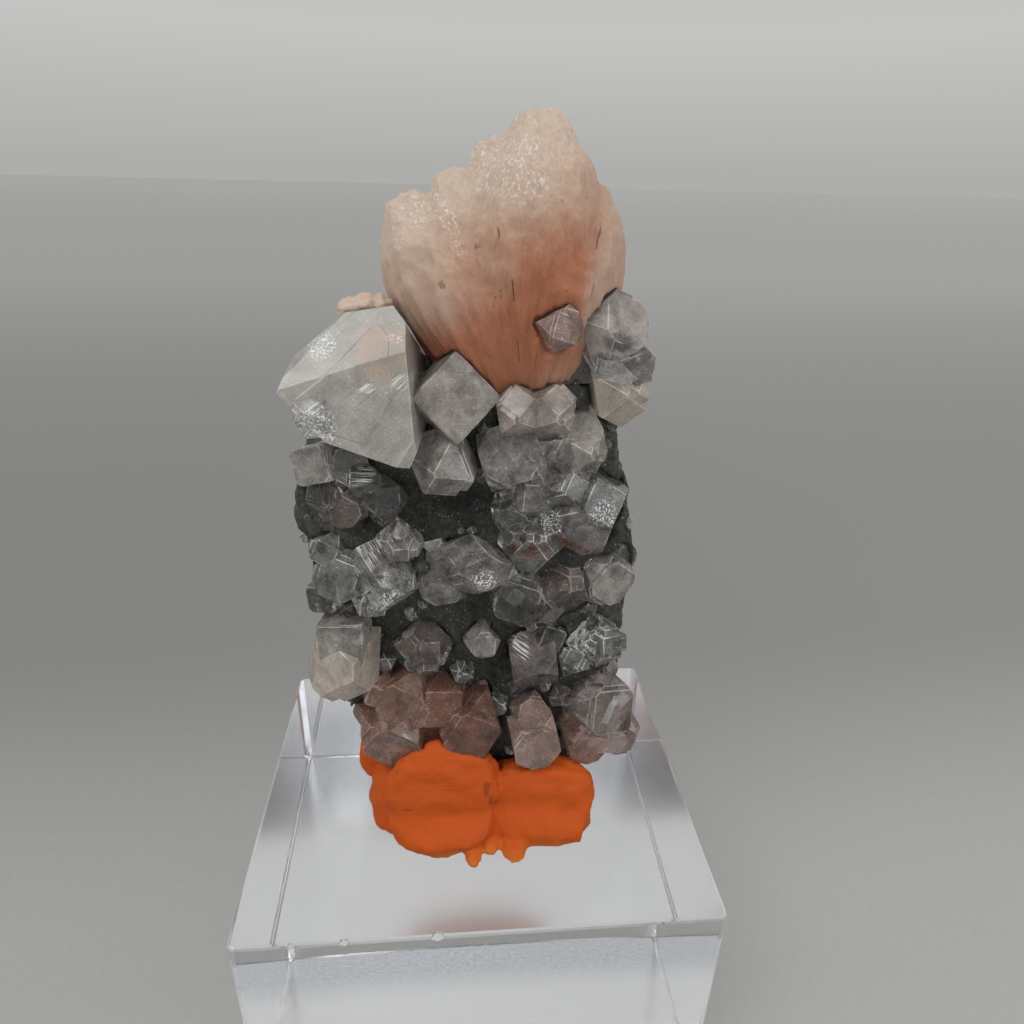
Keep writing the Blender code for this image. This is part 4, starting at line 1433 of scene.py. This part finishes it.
@dataclass
class SmallCrystals:
    """Small crystals that fill the places between the big ones."""

    count: int = 260
    seed: int = 41
    least: float = 0.8
    most: float = 2.4
    across: tuple[float, float] = (-20.5, 20.0)
    heights: tuple[float, float] = (44.0, 97.0)
    deepest: float = 4.0
    fillers: tuple[tuple[tuple[float, float, float], float, Looks], ...] = (
        ((-5.8, -4.6, 50.4), 4.6, Looks.ORANGE_LIT_MAROON),
        ((-12.6, -4.6, 55.6), 4.0, Looks.ORANGE_LIT_BROWN),
    )
    # Middle and half size, x and z each, of the places that stay bare rock
    bare: tuple[Spot, ...] = (
        (-3.5, 81.8, 8.0, 3.2),
        (-12.0, 65.5, 2.6, 3.4),
        (0.0, 66.2, 7.0, 2.2),
        (17.5, 65.5, 3.4, 3.0),
        (3.0, 58.0, 2.2, 3.6),
    )

    def is_bare(self, x: float, z: float) -> bool:
        """Whether this place of the front is bare rock."""
        return any(((x - cx) / wide) ** 2 + ((z - cz) / high) ** 2 < 1.0 for cx, cz, wide, high in self.bare)

    def add(self, whole: bmesh.types.BMesh, crystal: Crystal, chance: random.Random) -> None:
        """Adds one crystal to the others.

        Args:
            whole: The mesh of all of them.
            crystal: Its place, shape and look.
            chance: Seeded source of the small differences.
        """
        half = crystal.width / 2.0
        bm = crystal.form(half, crystal.length / 2.0, Vector(), 0.05 * crystal.width)
        write_layers(bm, crystal.look.value, chance.uniform(0.0, 40.0), UP)
        bmesh.ops.transform(bm, matrix=Matrix.Translation(crystal.at) @ crystal.turn(), verts=bm.verts)
        mesh = bpy.data.meshes.new("small")
        bm.to_mesh(mesh)
        bm.free()
        whole.from_mesh(mesh)
        bpy.data.meshes.remove(mesh)

    def build(self, rock: bpy.types.Object, material: bpy.types.Material) -> bpy.types.Object:
        """Scatters the crystals over the front of the rock.

        Args:
            rock: What they stand on.
            material: The crystal finish.

        Returns:
            The finished piece.
        """
        chance = random.Random(self.seed)
        tree = BVHTree.FromObject(rock, bpy.context.evaluated_depsgraph_get())
        whole = bmesh.new()
        looks = (Looks.CLEAR, Looks.GREY, Looks.FROSTED, Looks.SMOKY, Looks.DARK, Looks.BRIGHT)
        for at, size, look in self.fillers:
            self.add(whole, Crystal(at, size, size * 1.3, -4, 10, 25, 0.5, look), chance)
        placed = 0
        while placed < self.count:
            x = chance.uniform(*self.across)
            z = chance.uniform(*self.heights)
            size = self.least + (self.most - self.least) * chance.random() ** 2
            look = chance.choice(looks)
            spin = chance.uniform(0.0, 90.0)
            sway = Vector([chance.uniform(-0.45, 0.45) for _ in range(3)])
            placed += 1
            hit, normal, _, _ = tree.ray_cast(Vector((x, -60.0, z)) * MM, Vector((0.0, 1.0, 0.0)))
            if hit is None or self.is_bare(x, z) or hit.y > self.deepest * MM:
                continue
            way = (normal + sway + Vector((0.0, -0.4, 0.0))).normalized()
            yaw = math.degrees(math.atan2(way.x, -way.y))
            rise = math.degrees(math.asin(max(-1.0, min(1.0, way.z))))
            at = hit / MM + way * size * 0.25
            length = size * chance.uniform(1.1, 1.7)
            crystal = Crystal(tuple(at), size, length, yaw, rise, spin, chance.uniform(0.2, 0.8), look)
            self.add(whole, crystal, chance)
        piece = to_object(whole, "small_crystals")
        drop_slivers(piece.data)
        settle(piece, (), material)
        return piece


@dataclass
class Studio:
    """Floor with painted light, soft light and the camera at the photograph's angle."""

    lens: float = 25.77
    place: Vector = field(default_factory=lambda: Vector((-3.5, -82.5, 117.2)))
    right: Vector = field(default_factory=lambda: Vector((0.9962, -0.0844, 0.0231)))
    down: Vector = field(default_factory=lambda: Vector((-0.0148, -0.4236, -0.9057)))
    ahead: Vector = field(default_factory=lambda: Vector((0.0862, 0.9019, -0.4233)))
    aim: Vector = field(default_factory=lambda: Vector((0.0, 0.0, 75.0)))
    floor_half: float = 6000.0
    floor_drop: float = 0.05
    floor_colour: Colour = (0.46, 0.455, 0.445)
    # Brightness of the surroundings by height, from the horizon to overhead
    surroundings: tuple[tuple[float, float], ...] = (
        (0.0, 0.42),
        (0.14, 0.55),
        (0.3, 0.46),
        (0.6, 0.44),
        (0.95, 0.62),
    )

    def build_camera(self) -> None:
        """Sets the camera."""
        data = bpy.data.cameras.new("camera")
        data.lens = self.lens
        data.sensor_width = 36.0
        data.clip_start = 0.005
        data.clip_end = 20.0
        camera = bpy.data.objects.new("camera", data)
        bpy.context.scene.collection.objects.link(camera)
        turn = Matrix((self.right, -self.down, -self.ahead)).transposed().to_4x4()
        turn.translation = self.place * MM
        camera.matrix_world = turn
        bpy.context.scene.camera = camera

    def build_floor(self) -> None:
        """Lays the floor, with painted light that makes it brighter in front, far off and to the right."""
        bm = bmesh.new()
        bmesh.ops.create_grid(bm, x_segments=1, y_segments=1, size=self.floor_half)
        bmesh.ops.translate(bm, vec=(0.0, 0.0, -self.floor_drop), verts=bm.verts)
        floor = to_object(bm, "floor")
        graph = Graph("floor")
        here = graph.place()
        grain = graph.noise(here, 0.8, 4.0)
        away = graph.part(here, 1)
        across = graph.part(here, 0)
        # Painted light: brighter in front and under the block, darker beyond it, brighter again far off and
        # towards the right
        level = 0.88 + (1.0 - away.eased(0.0, 90.0)) * 0.4 + away.eased(120.0, 900.0) * 0.5
        level = level + away.eased(900.0, 4500.0) * 0.17
        level = (level + across.eased(-140.0, 200.0) * 0.12 - 0.06) * (0.95 + grain * 0.1)
        colour = graph.mix(1.0, tint(self.floor_colour), graph.grey(level), "MULTIPLY")
        shader = graph.surface({"Base Color": colour, "Roughness": 0.42, "Metallic": 0.5})
        floor.data.materials.append(graph.finish(shader))

    def build_world(self) -> None:
        """Sets the soft light from all round."""
        world = bpy.data.worlds.new("studio")
        world.use_nodes = True
        tree = world.node_tree
        tree.nodes.clear()
        where = tree.nodes.new("ShaderNodeTexCoord")
        split = tree.nodes.new("ShaderNodeSeparateXYZ")
        ramp = tree.nodes.new("ShaderNodeValToRGB")
        stops = [(height, (value, value, value * 0.985)) for height, value in self.surroundings]
        Graph.fill_ramp(ramp.color_ramp, stops)
        shine = tree.nodes.new("ShaderNodeBackground")
        output = tree.nodes.new("ShaderNodeOutputWorld")
        tree.links.new(where.outputs["Generated"], split.inputs[0])
        tree.links.new(split.outputs["Z"], ramp.inputs["Fac"])
        tree.links.new(ramp.outputs["Color"], shine.inputs["Color"])
        tree.links.new(shine.outputs[0], output.inputs["Surface"])
        shine.inputs["Strength"].default_value = 1.0
        bpy.context.scene.world = world

    def build_light(self, name: str, place: Colour, size: float, power: float) -> None:
        """Hangs one soft light that faces the specimen.

        Args:
            name: The light's name.
            place: Where it hangs, in millimetres.
            size: Its side in millimetres.
            power: Its power in watts.
        """
        data = bpy.data.lights.new(name, "AREA")
        data.shape = "SQUARE"
        data.size = size * MM
        data.energy = power
        lamp = bpy.data.objects.new(name, data)
        bpy.context.scene.collection.objects.link(lamp)
        way = self.aim - Vector(place)
        turn = way.to_track_quat("-Z", "Y").to_matrix().to_4x4()
        turn.translation = Vector(place) * MM
        lamp.matrix_world = turn

    def build(self) -> None:
        """Builds the studio."""
        self.build_camera()
        self.build_floor()
        self.build_world()
        self.build_light("key", (-170.0, -160.0, 380.0), 180.0, 0.40)
        self.build_light("fill", (260.0, -140.0, 220.0), 220.0, 0.2)
        scene = bpy.context.scene
        scene.view_settings.view_transform = "Standard"
        scene.cycles.max_bounces = 16
        scene.cycles.transmission_bounces = 14
        scene.cycles.glossy_bounces = 6
        scene.cycles.diffuse_bounces = 4
        scene.cycles.transparent_max_bounces = 12
        scene.cycles.sample_clamp_indirect = 6.0
        scene.cycles.use_denoising = True


def main() -> None:
    """Builds the specimen, then the studio."""
    logging.basicConfig(level=logging.INFO, format="%(name)s: %(message)s")
    crystal = ApophylliteFinish().material()
    stilbite = StilbiteFinish().material()
    rock = Basalt().build(BasaltFinish().material())
    StilbiteSheaf().build(stilbite)
    PuttyFoot().build(PuttyFinish().material())
    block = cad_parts["acrylic_block"]
    block.data.materials.clear()
    block.data.materials.append(AcrylicFinish().material())
    for index, group in enumerate(GROUPS):
        group.build(crystal, FIRST_SEED + index)
    SmallCrystals().build(rock, crystal)
    Studio().build()


if __name__ == "__main__":
    main()
